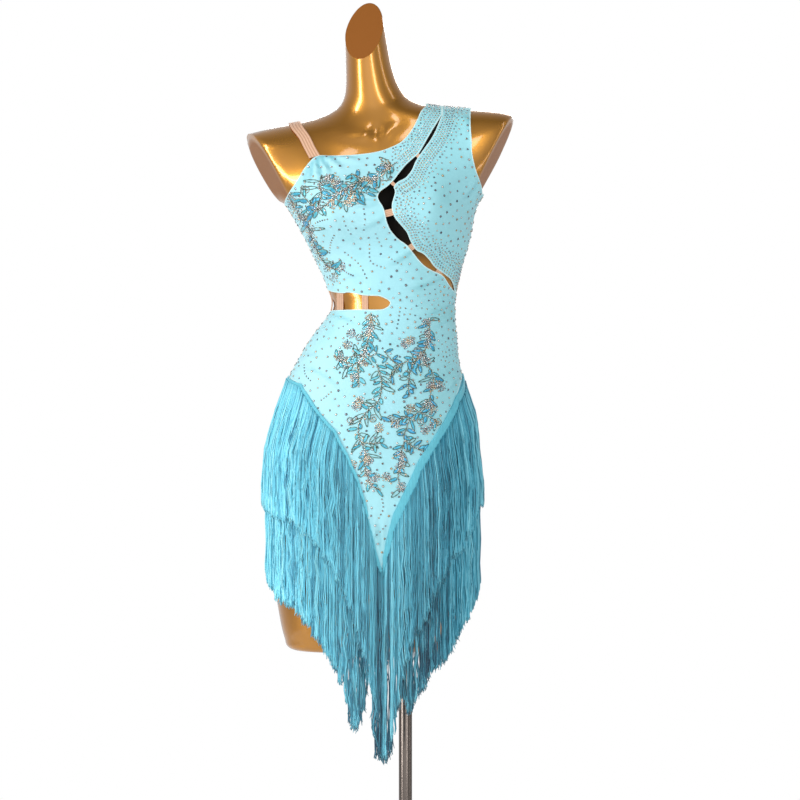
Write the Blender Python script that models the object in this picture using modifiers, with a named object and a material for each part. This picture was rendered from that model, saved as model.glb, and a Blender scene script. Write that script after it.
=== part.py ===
"""Latin dance dress worn by a limbless dress form on a pole stand.

Metres, +Z up, the front faces -Y.  The origin is the middle of the base
plate's underside, on the pole's axis.  One smooth body is lofted through
measured sections.  Every piece of cloth is a wall worked out from that body:
moved out from it, stretched straight over its hollows, and trimmed to its
pattern outline as seen from the front.
"""
import math
from collections import namedtuple

import bpy
import bmesh
from mathutils import Vector
from mathutils.bvhtree import BVHTree

# Stand
BASE_DIAMETER = 0.350
BASE_THICKNESS = 0.008
POLE_DIAMETER = 0.022
POLE_SIDES = 16
SOCKET_DEPTH = 0.060
FIT_GAP = 0.0003

# Cloth
WALL = 0.0015            # thickness of the stretch cloth
CLEARANCE = 0.0008       # from the form to the inside of the cloth
SEAM_GAP = 0.0004        # between neighbouring pieces
SEAM_DEPTH = 0.006       # the side and shoulder seams lie in this Y plane
SKIRT_SEAM = 0.0013      # vertical gap between the bodice's V and the skirt
OUTER = CLEARANCE + WALL
FAR_LEFT = -0.300        # pattern outlines run out past the body to these
FAR_RIGHT = 0.260
FAR_ABOVE = 1.470
FAR_DEEP = 0.300
ARMPIT_LEVEL = 1.255     # the left side is open above this
SLIT_END_LEVEL = 1.117   # where the slit reaches the right side seam

# Nude elastic
STRAP_THICKNESS = 0.0012
STRAP_LIFT = 0.0012      # keeps its straight runs clear of the round shoulder
BRIDGE_GAP = 0.0008      # from a bridge's end to the slit's edge

# Fringe
TAPE_HEIGHT = 0.008
TAPE_THICKNESS = 0.0018
TAPE_RISE = 0.002        # how far the tape's top stands above the seam it covers
LOCK_PITCH = 0.0114
LOCK_SHARE = 0.64        # of the pitch is lock, the rest is gap
LOCK_THICKNESS = 0.0022
TAPE_OUT = OUTER + FIT_GAP
UPPER_HANG = OUTER + 0.0040
TIER_DROP = 0.122        # from the upper tape down to the lower one
MAX_SLANT = 3.0          # the most that a steep tape is widened down the body
HIP_LEVEL = 0.800        # the widest level, from which the fringe hangs straight
LOCK_STEP = 0.048        # height of a lock's segments while it lies on the hips

AROUND = 36              # points round a section
BODY_MIDDLE = 0.005      # Y of the body's left and right sides

# Level, left and right side, front and back of each flat section, and how
# square it is (2 is an ellipse).
TrunkRow = namedtuple("TrunkRow", "z left right front back square")
TRUNK = [
    TrunkRow(0.5455, -0.199, 0.069, -0.082, 0.090, 2.5),
    TrunkRow(0.578, -0.207, 0.087, -0.091, 0.100, 2.5),
    TrunkRow(0.661, -0.220, 0.110, -0.106, 0.118, 2.3),
    TrunkRow(0.710, -0.223, 0.116, -0.111, 0.126, 2.2),
    TrunkRow(0.760, -0.224, 0.117, -0.113, 0.132, 2.2),
    TrunkRow(0.810, -0.223, 0.115, -0.112, 0.134, 2.2),
    TrunkRow(0.859, -0.219, 0.109, -0.110, 0.131, 2.2),
    TrunkRow(0.909, -0.206, 0.105, -0.107, 0.121, 2.2),
    TrunkRow(0.975, -0.191, 0.093, -0.100, 0.101, 2.2),
    TrunkRow(1.008, -0.174, 0.086, -0.095, 0.091, 2.2),
    TrunkRow(1.041, -0.155, 0.083, -0.090, 0.083, 2.2),
    TrunkRow(1.090, -0.120, 0.079, -0.084, 0.076, 2.2),
    TrunkRow(1.115, -0.124, 0.081, -0.085, 0.077, 2.2),
    TrunkRow(1.140, -0.131, 0.086, -0.088, 0.080, 2.2),
    TrunkRow(1.172, -0.146, 0.094, -0.093, 0.086, 2.2),
    TrunkRow(1.205, -0.162, 0.104, -0.098, 0.093, 2.3),
    TrunkRow(1.238, -0.180, 0.110, -0.101, 0.100, 2.3),
    TrunkRow(1.263, -0.196, 0.117, -0.101, 0.105, 2.4),
]

# Above the armpits each section is tilted, so that its left end, right end,
# front and back have their own levels.
ShoulderRow = namedtuple(
    "ShoulderRow", "z_left left z_right right z_front front z_back back square")
SHOULDERS = [
    ShoulderRow(1.275, -0.222, 1.294, 0.136, 1.286, -0.098, 1.286, 0.108, 2.5),
    ShoulderRow(1.298, -0.248, 1.322, 0.158, 1.311, -0.093, 1.309, 0.108, 2.7),
    ShoulderRow(1.330, -0.270, 1.352, 0.176, 1.335, -0.086, 1.330, 0.105, 2.9),
    ShoulderRow(1.357, -0.280, 1.384, 0.186, 1.355, -0.078, 1.349, 0.100, 2.9),
    ShoulderRow(1.373, -0.272, 1.404, 0.184, 1.368, -0.072, 1.365, 0.096, 2.7),
    ShoulderRow(1.384, -0.241, 1.414, 0.163, 1.380, -0.066, 1.381, 0.090, 2.5),
    ShoulderRow(1.393, -0.200, 1.418, 0.131, 1.389, -0.062, 1.394, 0.084, 2.4),
    ShoulderRow(1.400, -0.162, 1.421, 0.092, 1.397, -0.058, 1.405, 0.078, 2.3),
    ShoulderRow(1.410, -0.131, 1.424, 0.056, 1.406, -0.055, 1.414, 0.072, 2.2),
    ShoulderRow(1.422, -0.111, 1.429, 0.026, 1.415, -0.052, 1.424, 0.065, 2.1),
    ShoulderRow(1.439, -0.101, 1.440, 0.003, 1.425, -0.050, 1.440, 0.057, 2.0),
    ShoulderRow(1.460, -0.098, 1.461, -0.012, 1.444, -0.048, 1.463, 0.051, 2.0),
    ShoulderRow(1.489, -0.098, 1.490, -0.022, 1.478, -0.046, 1.497, 0.046, 2.0),
    ShoulderRow(1.526, -0.099, 1.526, -0.029, 1.520, -0.046, 1.532, 0.043, 2.0),
    ShoulderRow(1.560, -0.099, 1.560, -0.035, 1.556, -0.045, 1.567, 0.041, 2.0),
    ShoulderRow(1.620, -0.096, 1.620, -0.050, 1.620, -0.040, 1.620, 0.036, 2.0),
]

# The underside of the thighs: level and how far the section is drawn in.
UNDERSIDE = [(0.531, 0.014), (0.5325, 0.006), (0.537, 0.002)]

BUST_LEVEL = 1.243
BUST_CENTRES = (-0.124, 0.045)
BUST_RISE = 0.034
BUST_HALF_WIDTH = 0.052
BUST_ABOVE = 0.066       # fades out over this height above the apex
BUST_BELOW = 0.044       # and more quickly under it

CLEFT_MIDDLE = -0.066    # X of the hollow between the thighs
CLEFT_TOP = 0.690
CLEFT_HALF_WIDTH = 0.030
CLEFT_DEPTH = 0.80       # share of the depth that the hollow takes
CLEFT_FADE = 0.10        # height over which it runs out

# The neck ends in a slanted flat face through this point.
NECK_CUT_POINT = Vector((-0.058, 0.036, 1.599))
NECK_CUT_NORMAL = Vector((-0.29, -0.70, 0.66))

# Each shoulder stub ends in a flat face: a point on it and its direction.
STUB_FACES = {
    "left": (Vector((-0.236, 0.000, 1.322)), Vector((-0.87, -0.20, -0.45))),
    "right": (Vector((0.154, 0.000, 1.353)), Vector((0.89, -0.13, -0.43))),
}
STUB_CUTTER = (0.130, 0.260, 0.150)
SOCKET_CUTTER_BELOW = 0.020      # the socket's cutter starts this far under the form

# Pattern outlines, as (x, z) seen from the front.
FRONT_NECKLINE = [
    (0.034, 1.421), (0.026, 1.412), (0.020, 1.398), (0.010, 1.379),
    (-0.005, 1.361), (-0.027, 1.349), (-0.051, 1.342), (-0.082, 1.338),
    (-0.112, 1.335), (-0.141, 1.336)]
LEFT_DIAGONAL = [
    (-0.156, 1.331), (-0.169, 1.315), (-0.182, 1.298), (-0.192, 1.281),
    (-0.199, 1.269)]
RIGHT_ARMHOLE = [
    (0.126, 1.294), (0.119, 1.302), (0.113, 1.314), (0.109, 1.329),
    (0.106, 1.345), (0.106, 1.360), (0.104, 1.392), (0.106, 1.416)]
SLIT_INNER_EDGE = [
    (0.0585, 1.405), (0.041, 1.374), (0.023, 1.344), (0.013, 1.333),
    (0.001, 1.321), (-0.011, 1.307), (-0.019, 1.297), (-0.030, 1.286),
    (-0.040, 1.278), (-0.044, 1.267), (-0.035, 1.252), (-0.031, 1.234),
    (-0.024, 1.219), (-0.012, 1.205), (0.003, 1.194), (0.012, 1.182),
    (0.021, 1.171), (0.031, 1.161), (0.043, 1.153), (0.060, 1.145),
    (0.067, 1.137), (0.075, 1.125)]
SLIT_OUTER_EDGE = [
    (0.0600, 1.405), (0.044, 1.373), (0.026, 1.343), (0.016, 1.329),
    (0.009, 1.313), (-0.001, 1.301), (-0.012, 1.294), (-0.020, 1.286),
    (-0.018, 1.276), (-0.023, 1.255), (-0.018, 1.237), (-0.009, 1.225),
    (0.001, 1.213), (0.007, 1.200), (0.017, 1.186), (0.028, 1.180),
    (0.038, 1.170), (0.047, 1.159), (0.064, 1.148), (0.072, 1.140),
    (0.078, 1.129)]
CUTOUT_TOP = [
    (-0.127, 1.124), (-0.117, 1.120), (-0.101, 1.118), (-0.091, 1.119),
    (-0.067, 1.114), (-0.044, 1.113), (-0.033, 1.109), (-0.025, 1.104)]
CUTOUT_BOTTOM = [
    (-0.025, 1.097), (-0.033, 1.091), (-0.044, 1.089), (-0.072, 1.089),
    (-0.096, 1.088), (-0.127, 1.087)]
FRONT_V_LEFT = [
    (-0.190, 0.979), (-0.168, 0.967), (-0.156, 0.948), (-0.137, 0.920),
    (-0.113, 0.893), (-0.094, 0.856), (-0.079, 0.822), (-0.070, 0.794),
    (-0.062, 0.766), (-0.054, 0.729), (-0.047, 0.694), (-0.040, 0.672)]
FRONT_V_RIGHT = [
    (-0.040, 0.672), (-0.035, 0.694), (-0.029, 0.723), (-0.020, 0.757),
    (-0.005, 0.788), (0.005, 0.809), (0.020, 0.843), (0.038, 0.871),
    (0.054, 0.896), (0.068, 0.920), (0.081, 0.948), (0.092, 0.983)]
BACK_V_LEFT = [
    (-0.190, 0.979), (-0.166, 0.952), (-0.140, 0.915), (-0.112, 0.872),
    (-0.084, 0.832), (-0.062, 0.804), (-0.050, 0.794)]
BACK_V_RIGHT = [
    (-0.050, 0.794), (-0.038, 0.804), (-0.016, 0.832), (0.012, 0.872),
    (0.040, 0.915), (0.066, 0.952), (0.092, 0.983)]
BACK_CUTOUT_TOP = [
    (-0.127, 1.124), (-0.117, 1.121), (-0.100, 1.119), (-0.075, 1.114),
    (-0.060, 1.104)]
BACK_CUTOUT_BOTTOM = [
    (-0.060, 1.098), (-0.075, 1.090), (-0.100, 1.088), (-0.127, 1.087)]
BACK_NECKLINE = [
    (0.034, 1.424), (0.026, 1.400), (0.006, 1.372), (-0.028, 1.350),
    (-0.070, 1.334), (-0.110, 1.318), (-0.146, 1.300), (-0.176, 1.281),
    (-0.199, 1.269)]

# Where the locks end, from the side to the middle, as (x, z).
FRONT_UPPER_ENDS_LEFT = [
    (-0.224, 0.772), (-0.174, 0.746), (-0.137, 0.712), (-0.101, 0.644),
    (-0.081, 0.594), (-0.067, 0.524), (-0.054, 0.466), (-0.048, 0.378),
    (-0.040, 0.362)]
FRONT_UPPER_ENDS_RIGHT = [
    (-0.036, 0.362), (-0.028, 0.372), (-0.011, 0.478), (-0.005, 0.520),
    (0.007, 0.556), (0.023, 0.583), (0.047, 0.641), (0.066, 0.685),
    (0.084, 0.700), (0.115, 0.772)]
FRONT_LOWER_ENDS_LEFT = [
    (-0.224, 0.656), (-0.174, 0.601), (-0.143, 0.564), (-0.121, 0.527),
    (-0.100, 0.487), (-0.092, 0.422), (-0.080, 0.411), (-0.064, 0.446),
    (-0.056, 0.469)]
FRONT_LOWER_ENDS_RIGHT = [
    (-0.005, 0.478), (0.004, 0.438), (0.026, 0.478), (0.041, 0.506),
    (0.071, 0.540), (0.087, 0.574), (0.103, 0.600), (0.115, 0.635)]
BACK_UPPER_ENDS_LEFT = [
    (-0.224, 0.772), (-0.174, 0.742), (-0.120, 0.680), (-0.080, 0.618),
    (-0.050, 0.580)]
BACK_UPPER_ENDS_RIGHT = [
    (-0.050, 0.580), (-0.020, 0.618), (0.030, 0.680), (0.076, 0.742),
    (0.115, 0.772)]
BACK_LOWER_ENDS_LEFT = [
    (-0.224, 0.656), (-0.174, 0.606), (-0.120, 0.548), (-0.080, 0.508),
    (-0.050, 0.486)]
BACK_LOWER_ENDS_RIGHT = [
    (-0.050, 0.486), (-0.020, 0.508), (0.030, 0.548), (0.076, 0.596),
    (0.115, 0.640)]

# Nude elastic bridges across the slit: the middle of each, and its width.
Bridge = namedtuple("Bridge", "x z width")
SLIT_BRIDGES = [
    Bridge(0.0203, 1.3372, 0.007),
    Bridge(-0.0205, 1.2910, 0.006),
    Bridge(-0.0270, 1.2440, 0.011),
    Bridge(0.0097, 1.1907, 0.010),
    Bridge(0.0535, 1.1515, 0.010),
]

# Nude elastic tabs down the waist cut-out: the side it is seen from, its
# middle across that view, top and bottom, and the width.
Tab = namedtuple("Tab", "view middle top bottom width")
WAIST_TABS = [
    Tab("left", -0.0060, 1.1232, 1.0880, 0.014),
    Tab("front", -0.1065, 1.1176, 1.0886, 0.011),
    Tab("front", -0.0655, 1.1132, 1.0896, 0.010),
    Tab("back", -0.0950, 1.1160, 1.0900, 0.011),
]

# The shoulder strap's two edges from front to back, as seen from the front,
# top or back: X, and the level (or Y in the view from the top).
StrapRow = namedtuple("StrapRow", "view left left_at right right_at")
STRAP = [
    StrapRow("front", -0.1565, 1.3330, -0.1420, 1.3375),
    StrapRow("front", -0.1625, 1.3500, -0.1480, 1.3520),
    StrapRow("front", -0.1720, 1.3680, -0.1565, 1.3700),
    StrapRow("top", -0.1840, -0.0450, -0.1680, -0.0460),
    StrapRow("top", -0.1900, -0.0220, -0.1740, -0.0220),
    StrapRow("top", -0.1920, 0.0050, -0.1760, 0.0050),
    StrapRow("top", -0.1900, 0.0340, -0.1740, 0.0340),
    StrapRow("top", -0.1865, 0.0560, -0.1705, 0.0560),
    StrapRow("top", -0.1845, 0.0720, -0.1685, 0.0720),
    StrapRow("top", -0.1830, 0.0820, -0.1670, 0.0820),
    StrapRow("back", -0.1800, 1.3700, -0.1640, 1.3740),
    StrapRow("back", -0.1770, 1.3560, -0.1610, 1.3600),
    StrapRow("back", -0.1720, 1.3400, -0.1570, 1.3430),
    StrapRow("back", -0.1650, 1.3150, -0.1500, 1.3200),
    StrapRow("back", -0.1600, 1.2930, -0.1450, 1.3020),
]

# Raised leaf sprays: the stem of each, as (x, z) seen from the front.
SPRAY_THICKNESS = 0.0010
SPRAY_CLEARANCE = 0.0006
SPRAY_CLEARANCE_BUST = 0.0016    # more over the tight bend by the armpit
STEM_HALF_WIDTH = 0.0016
LEAF_PITCH = 0.0125
LEAF_LENGTH = 0.0140
LEAF_HALF_WIDTH = 0.0036
LEAF_LEAN = 0.55         # how far a leaf points along the stem, against straight out
SPRAYS = {
    "applique_belly_left": [
        (-0.057, 1.083), (-0.064, 1.049), (-0.070, 1.021), (-0.053, 0.998),
        (-0.050, 0.968), (-0.066, 0.938), (-0.076, 0.908), (-0.070, 0.868),
        (-0.063, 0.835), (-0.057, 0.806)],
    "applique_belly_right": [
        (0.038, 1.078), (0.026, 1.049), (0.012, 1.021), (0.028, 0.996),
        (0.038, 0.968), (0.028, 0.936), (0.003, 0.907), (-0.004, 0.876),
        (-0.013, 0.846), (-0.016, 0.818)],
    "applique_bust": [
        (-0.030, 1.318), (-0.060, 1.301), (-0.097, 1.288), (-0.134, 1.290),
        (-0.153, 1.281), (-0.160, 1.257), (-0.150, 1.226), (-0.136, 1.196),
        (-0.120, 1.170), (-0.100, 1.150)],
}

AQUA = (0.36, 0.78, 0.87, 1.0)
TEAL = (0.05, 0.35, 0.48, 1.0)
NUDE = (0.80, 0.50, 0.36, 1.0)
FOIL = (0.12, 0.50, 0.60, 1.0)
GOLD = (0.60, 0.30, 0.07, 1.0)
STEEL = (0.55, 0.54, 0.52, 1.0)


def clear_scene():
    for obj in list(bpy.data.objects):
        bpy.data.objects.remove(obj, do_unlink=True)


def make_material(name, color, roughness, metallic):
    material = bpy.data.materials.new(name)
    material.use_nodes = True
    shader = material.node_tree.nodes["Principled BSDF"]
    shader.inputs["Base Color"].default_value = color
    shader.inputs["Roughness"].default_value = roughness
    shader.inputs["Metallic"].default_value = metallic
    return material


def spline(rows, place):
    """A smooth curve through rows of numbers, read at a fractional index."""
    last = len(rows) - 1
    place = min(max(place, 0.0), last)
    start = min(int(place), last - 1)
    f = place - start
    near = [rows[min(max(start + step, 0), last)] for step in (-1, 0, 1, 2)]
    return [
        0.5 * (2 * b + (c - a) * f + (2 * a - 5 * b + 4 * c - d) * f ** 2
               + (3 * b - a - 3 * c + d) * f ** 3)
        for a, b, c, d in zip(*near)]


def signed_power(value, power):
    return math.copysign(abs(value) ** power, value)


def smooth(value):
    value = min(max(value, 0.0), 1.0)
    return value * value * (3.0 - 2.0 * value)


def tilted(row):
    """A flat trunk section in the form that the shoulders' sections have."""
    return ShoulderRow(row.z, row.left, row.z, row.right, row.z, row.front,
                       row.z, row.back, row.square)


BODY = [tilted(row) for row in TRUNK] + SHOULDERS
CLOTH_TOP = len(TRUNK) + 10      # the section on the neck that the cloth's shell ends at


def place_at(level):
    """Where on the body's spline the trunk has this level."""
    low = 0.0
    high = len(TRUNK) - 1.0
    for _ in range(30):
        middle = (low + high) / 2.0
        if spline(BODY, middle)[0] < level:
            low = middle
        else:
            high = middle
    return high


def bust_rise(x, z, forward):
    """How far the bust stands out at this point of the front."""
    rise = 0.0
    for centre in BUST_CENTRES:
        fade = BUST_ABOVE if z > BUST_LEVEL else BUST_BELOW
        rise += math.exp(-((x - centre) / BUST_HALF_WIDTH) ** 2
                         - ((z - BUST_LEVEL) / fade) ** 2)
    return BUST_RISE * min(rise, 1.0) * smooth(2.2 * forward)


def cleft_share(x, z):
    """How much of the depth the hollow between the thighs takes."""
    across = (x - CLEFT_MIDDLE) / CLEFT_HALF_WIDTH
    return CLEFT_DEPTH * smooth((CLEFT_TOP - z) / CLEFT_FADE) * math.exp(-across ** 2)


def body_point(place, turn, cleft=False):
    """A point of the body.  The turn runs from the right side by the back."""
    row = ShoulderRow(*spline(BODY, place))
    across = signed_power(math.cos(turn), 2.0 / row.square)
    deep = signed_power(math.sin(turn), 2.0 / row.square)
    x = (row.left + row.right) / 2.0 + (row.right - row.left) / 2.0 * across
    level = (row.z_left + row.z_right) / 2.0
    end_level = row.z_back if deep > 0.0 else row.z_front
    z = (level + (row.z_right - row.z_left) / 2.0 * across
         + (end_level - level) * deep ** 2)
    reach = row.back - BODY_MIDDLE if deep > 0.0 else BODY_MIDDLE - row.front
    y = BODY_MIDDLE + reach * deep
    if deep < 0.0:
        y -= bust_rise(x, z, -deep)
    if cleft:
        y = BODY_MIDDLE + (y - BODY_MIDDLE) * (1.0 - cleft_share(x, z))
    return Vector((x, y, z))


def body_ring(place, cleft=False):
    return [body_point(place, 2.0 * math.pi * i / AROUND, cleft)
            for i in range(AROUND)]


def turn_at(x, z, back=False):
    """The turn at which the trunk, seen from the front, has this X."""
    row = ShoulderRow(*spline(BODY, place_at(z)))
    half = (row.right - row.left) / 2.0
    across = (x - (row.left + row.right) / 2.0) / half
    across = signed_power(min(max(across, -1.0), 1.0), row.square / 2.0)
    turn = math.acos(across)
    return turn if back else 2.0 * math.pi - turn


def outward(place, turn):
    """The body's outward direction."""
    step = 0.01
    around = body_point(place, turn + step) - body_point(place, turn - step)
    up = body_point(place + step, turn) - body_point(place - step, turn)
    return around.cross(up).normalized()


def hull_indices(ring):
    """Indices of the points on the ring's convex hull, in ring order."""
    order = sorted(range(len(ring)), key=lambda i: (ring[i].x, ring[i].y))
    hull = set()
    for line in (order, order[::-1]):
        chain = []
        for i in line:
            while len(chain) > 1:
                a, b = ring[chain[-2]], ring[chain[-1]]
                bend = (b - a).xy.cross((ring[i] - b).xy)
                if bend > 1e-9:
                    break
                chain.pop()
            chain.append(i)
        hull.update(chain)
    return sorted(hull)


def stretched(ring):
    """The ring pulled straight over its hollows, as tight cloth is."""
    hull = hull_indices(ring)
    count = len(ring)
    result = [point.copy() for point in ring]
    for start, end in zip(hull, hull[1:] + [hull[0] + count]):
        for i in range(start + 1, end):
            share = (i - start) / (end - start)
            result[i % count] = ring[start].lerp(ring[end % count], share)
    return result


def drawn_in(ring, inset, level):
    """The ring moved inwards in its own plane."""
    result = []
    for i, point in enumerate(ring):
        along = (ring[(i + 1) % len(ring)] - ring[i - 1]).xy.normalized()
        result.append(Vector((point.x - along.y * inset,
                              point.y + along.x * inset, level)))
    return result


def loft(bm, rings):
    """Facets between rings of equal count; returns the rows of points."""
    rows = [[bm.verts.new(point) for point in ring] for ring in rings]
    for low, high in zip(rows, rows[1:]):
        for i in range(len(low)):
            j = (i + 1) % len(low)
            bm.faces.new((low[i], low[j], high[j], high[i]))
    bmesh.ops.triangulate(bm, faces=bm.faces[:], quad_method="FIXED")
    return rows


def link(name, bm, collection, material=None):
    """A new object from this mesh."""
    mesh = bpy.data.meshes.new(name)
    bm.to_mesh(mesh)
    bm.free()
    obj = bpy.data.objects.new(name, mesh)
    collection.objects.link(obj)
    if material:
        mesh.materials.append(material)
    return obj


def adopt(name, collection, material=None):
    """Name the primitive just added, and put it in its collection."""
    obj = bpy.context.object
    obj.name = name
    for holder in list(obj.users_collection):
        holder.objects.unlink(obj)
    collection.objects.link(obj)
    if material:
        obj.data.materials.append(material)
    return obj


def hide_cutter(obj):
    obj.hide_render = True
    obj.display_type = "WIRE"
    return obj


def make_stand(parts, steel):
    bpy.ops.mesh.primitive_cylinder_add(
        vertices=40, radius=BASE_DIAMETER / 2.0, depth=BASE_THICKNESS,
        location=(0.0, 0.0, BASE_THICKNESS / 2.0))
    base = adopt("stand_base", parts, steel)
    bevel = base.modifiers.new("rounded edge", "BEVEL")
    bevel.width = 0.0015
    bevel.segments = 1
    bevel.limit_method = "ANGLE"
    bottom = BASE_THICKNESS + FIT_GAP
    top = UNDERSIDE[0][0] + SOCKET_DEPTH - FIT_GAP
    bpy.ops.mesh.primitive_cylinder_add(
        vertices=POLE_SIDES, radius=POLE_DIAMETER / 2.0, depth=top - bottom,
        location=(0.0, 0.0, (bottom + top) / 2.0))
    pole = adopt("stand_pole", parts, steel)
    for piece in (base, pole):
        piece.data.shade_smooth()
        piece.data.set_sharp_from_angle(angle=math.radians(40.0))


def make_form(parts, cutters, gold):
    """The smooth body, whole from its neck to its thighs."""
    bm = bmesh.new()
    places = range(len(BODY))
    rings = [body_ring(place, cleft=True) for place in places]
    under = [drawn_in(rings[0], inset, level) for level, inset in UNDERSIDE]
    rows = loft(bm, under + rings)
    bm.faces.new(rows[0][::-1])
    bm.faces.new(rows[-1])
    neck = bmesh.ops.bisect_plane(
        bm, geom=bm.verts[:] + bm.edges[:] + bm.faces[:],
        plane_co=NECK_CUT_POINT, plane_no=NECK_CUT_NORMAL, clear_outer=True)
    cut_edges = [item for item in neck["geom_cut"]
                 if isinstance(item, bmesh.types.BMEdge)]
    bmesh.ops.contextual_create(bm, geom=cut_edges)
    bmesh.ops.recalc_face_normals(bm, faces=bm.faces[:])
    form = link("dress_form", bm, parts, gold)
    form_cutters = bpy.data.collections.new("form_cutters")
    cutters.children.link(form_cutters)
    width, height, depth = STUB_CUTTER
    for side, (point, direction) in STUB_FACES.items():
        direction = direction.normalized()
        bpy.ops.mesh.primitive_cube_add(
            size=1.0, location=point + direction * depth / 2.0,
            rotation=direction.to_track_quat("Z", "Y").to_euler())
        cutter = hide_cutter(adopt("stub_cutter_" + side, form_cutters))
        cutter.scale = (width, height, depth)
    bottom = UNDERSIDE[0][0] - SOCKET_CUTTER_BELOW
    top = UNDERSIDE[0][0] + SOCKET_DEPTH
    bpy.ops.mesh.primitive_cylinder_add(
        vertices=POLE_SIDES, radius=POLE_DIAMETER / 2.0 + FIT_GAP,
        depth=top - bottom, location=(0.0, 0.0, (bottom + top) / 2.0))
    hide_cutter(adopt("socket_cutter", form_cutters))
    trim = form.modifiers.new("flat faces and socket", "BOOLEAN")
    trim.operation = "DIFFERENCE"
    trim.solver = "EXACT"
    trim.operand_type = "COLLECTION"
    trim.collection = form_cutters
    form.data.shade_smooth()


def make_shell():
    """The open surface that every piece of cloth is trimmed from."""
    bm = bmesh.new()
    rings = [stretched(body_ring(place)) for place in range(CLOTH_TOP + 1)]
    loft(bm, rings)
    bm.normal_update()
    moved = [(vert, vert.co + vert.normal * CLEARANCE) for vert in bm.verts]
    for vert, position in moved:
        vert.co = position
    return bm


def prism(name, outline, near, far, cutters):
    """A closed block with this outline seen from the front."""
    bm = bmesh.new()
    face = bm.faces.new([bm.verts.new((x, near, z)) for x, z in outline])
    raised = bmesh.ops.extrude_face_region(bm, geom=[face])
    for item in raised["geom"]:
        if isinstance(item, bmesh.types.BMVert):
            item.co.y = far
    bmesh.ops.recalc_face_normals(bm, faces=bm.faces)
    return hide_cutter(link(name + "_outline", bm, cutters))


def make_panel(name, outline, back, shell_mesh, parts, cutters, material):
    """One piece of cloth: the shell with a wall, inside its outline."""
    panel = bpy.data.objects.new(name, shell_mesh.copy())
    panel.data.materials.append(material)
    parts.objects.link(panel)
    wall = panel.modifiers.new("wall", "SOLIDIFY")
    wall.thickness = WALL
    wall.offset = 1.0
    wall.use_even_offset = True
    near, far = -FAR_DEEP, SEAM_DEPTH - SEAM_GAP / 2.0
    if back:
        near, far = SEAM_DEPTH + SEAM_GAP / 2.0, FAR_DEEP
    trim = panel.modifiers.new("outline", "BOOLEAN")
    trim.operation = "INTERSECT"
    trim.solver = "EXACT"
    trim.object = prism(name, outline, near, far, cutters)


def lowered(outline, drop):
    return [(x, z - drop) for x, z in outline]


def make_panels(shell_mesh, parts, cutters, aqua, teal):
    """The bodice's front, shoulder panel and back, and the skirt."""
    half_gap = SEAM_GAP / 2.0
    slit_top_inner = (SLIT_INNER_EDGE[0][0], FAR_ABOVE)
    slit_top_outer = (SLIT_OUTER_EDGE[0][0], FAR_ABOVE)
    front = (
        [slit_top_inner, (FRONT_NECKLINE[0][0], FAR_ABOVE)] + FRONT_NECKLINE
        + LEFT_DIAGONAL + [(FAR_LEFT, ARMPIT_LEVEL), (FAR_LEFT, CUTOUT_TOP[0][1])]
        + CUTOUT_TOP + CUTOUT_BOTTOM
        + [(FAR_LEFT, CUTOUT_BOTTOM[-1][1]), (FAR_LEFT, FRONT_V_LEFT[0][1])]
        + FRONT_V_LEFT + FRONT_V_RIGHT[1:]
        + [(FAR_RIGHT, FRONT_V_RIGHT[-1][1]), (FAR_RIGHT, SLIT_END_LEVEL - half_gap)]
        + SLIT_INNER_EDGE[::-1])
    shoulder = (
        [slit_top_outer] + SLIT_OUTER_EDGE
        + [(FAR_RIGHT, SLIT_END_LEVEL + half_gap), (FAR_RIGHT, RIGHT_ARMHOLE[0][1])]
        + RIGHT_ARMHOLE + [(RIGHT_ARMHOLE[-1][0], FAR_ABOVE)])
    back = (
        [(BACK_NECKLINE[0][0], FAR_ABOVE)] + BACK_NECKLINE
        + [(FAR_LEFT, ARMPIT_LEVEL), (FAR_LEFT, BACK_CUTOUT_TOP[0][1])]
        + BACK_CUTOUT_TOP + BACK_CUTOUT_BOTTOM
        + [(FAR_LEFT, BACK_CUTOUT_BOTTOM[-1][1]),
           (FAR_LEFT, BACK_V_LEFT[0][1])]
        + BACK_V_LEFT + BACK_V_RIGHT[1:]
        + [(FAR_RIGHT, BACK_V_RIGHT[-1][1]),
           (FAR_RIGHT, RIGHT_ARMHOLE[0][1])]
        + RIGHT_ARMHOLE + [(RIGHT_ARMHOLE[-1][0], FAR_ABOVE)])
    for name, outline, is_back in (("bodice_front", front, False),
                                   ("shoulder_panel", shoulder, False),
                                   ("bodice_back", back, True)):
        make_panel(name, outline, is_back, shell_mesh, parts, cutters, aqua)
    for name, left, right, is_back in (
            ("skirt_front", FRONT_V_LEFT, FRONT_V_RIGHT, False),
            ("skirt_back", BACK_V_LEFT, BACK_V_RIGHT, True)):
        top = ([(FAR_LEFT, left[0][1])] + left + right[1:]
               + [(FAR_RIGHT, right[-1][1])])
        skirt = lowered(top, SKIRT_SEAM) + lowered(top, TIER_DROP)[::-1]
        make_panel(name, skirt, is_back, shell_mesh, parts, cutters, teal)


VIEWS = {
    "front": (Vector((0.0, 1.0, 0.0)), lambda a, b: Vector((a, -1.0, b))),
    "back": (Vector((0.0, -1.0, 0.0)), lambda a, b: Vector((a, 1.0, b))),
    "left": (Vector((1.0, 0.0, 0.0)), lambda a, b: Vector((-1.0, a, b))),
    "top": (Vector((0.0, 0.0, -1.0)), lambda a, b: Vector((a, b, 2.0))),
}


def seen(tree, view, a, b):
    """The shell's point at these two coordinates of a view."""
    direction, start = VIEWS[view]
    place, normal, _, _ = tree.ray_cast(start(a, b), direction)
    if normal.dot(direction) > 0.0:
        normal.negate()
    return place, normal


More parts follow.
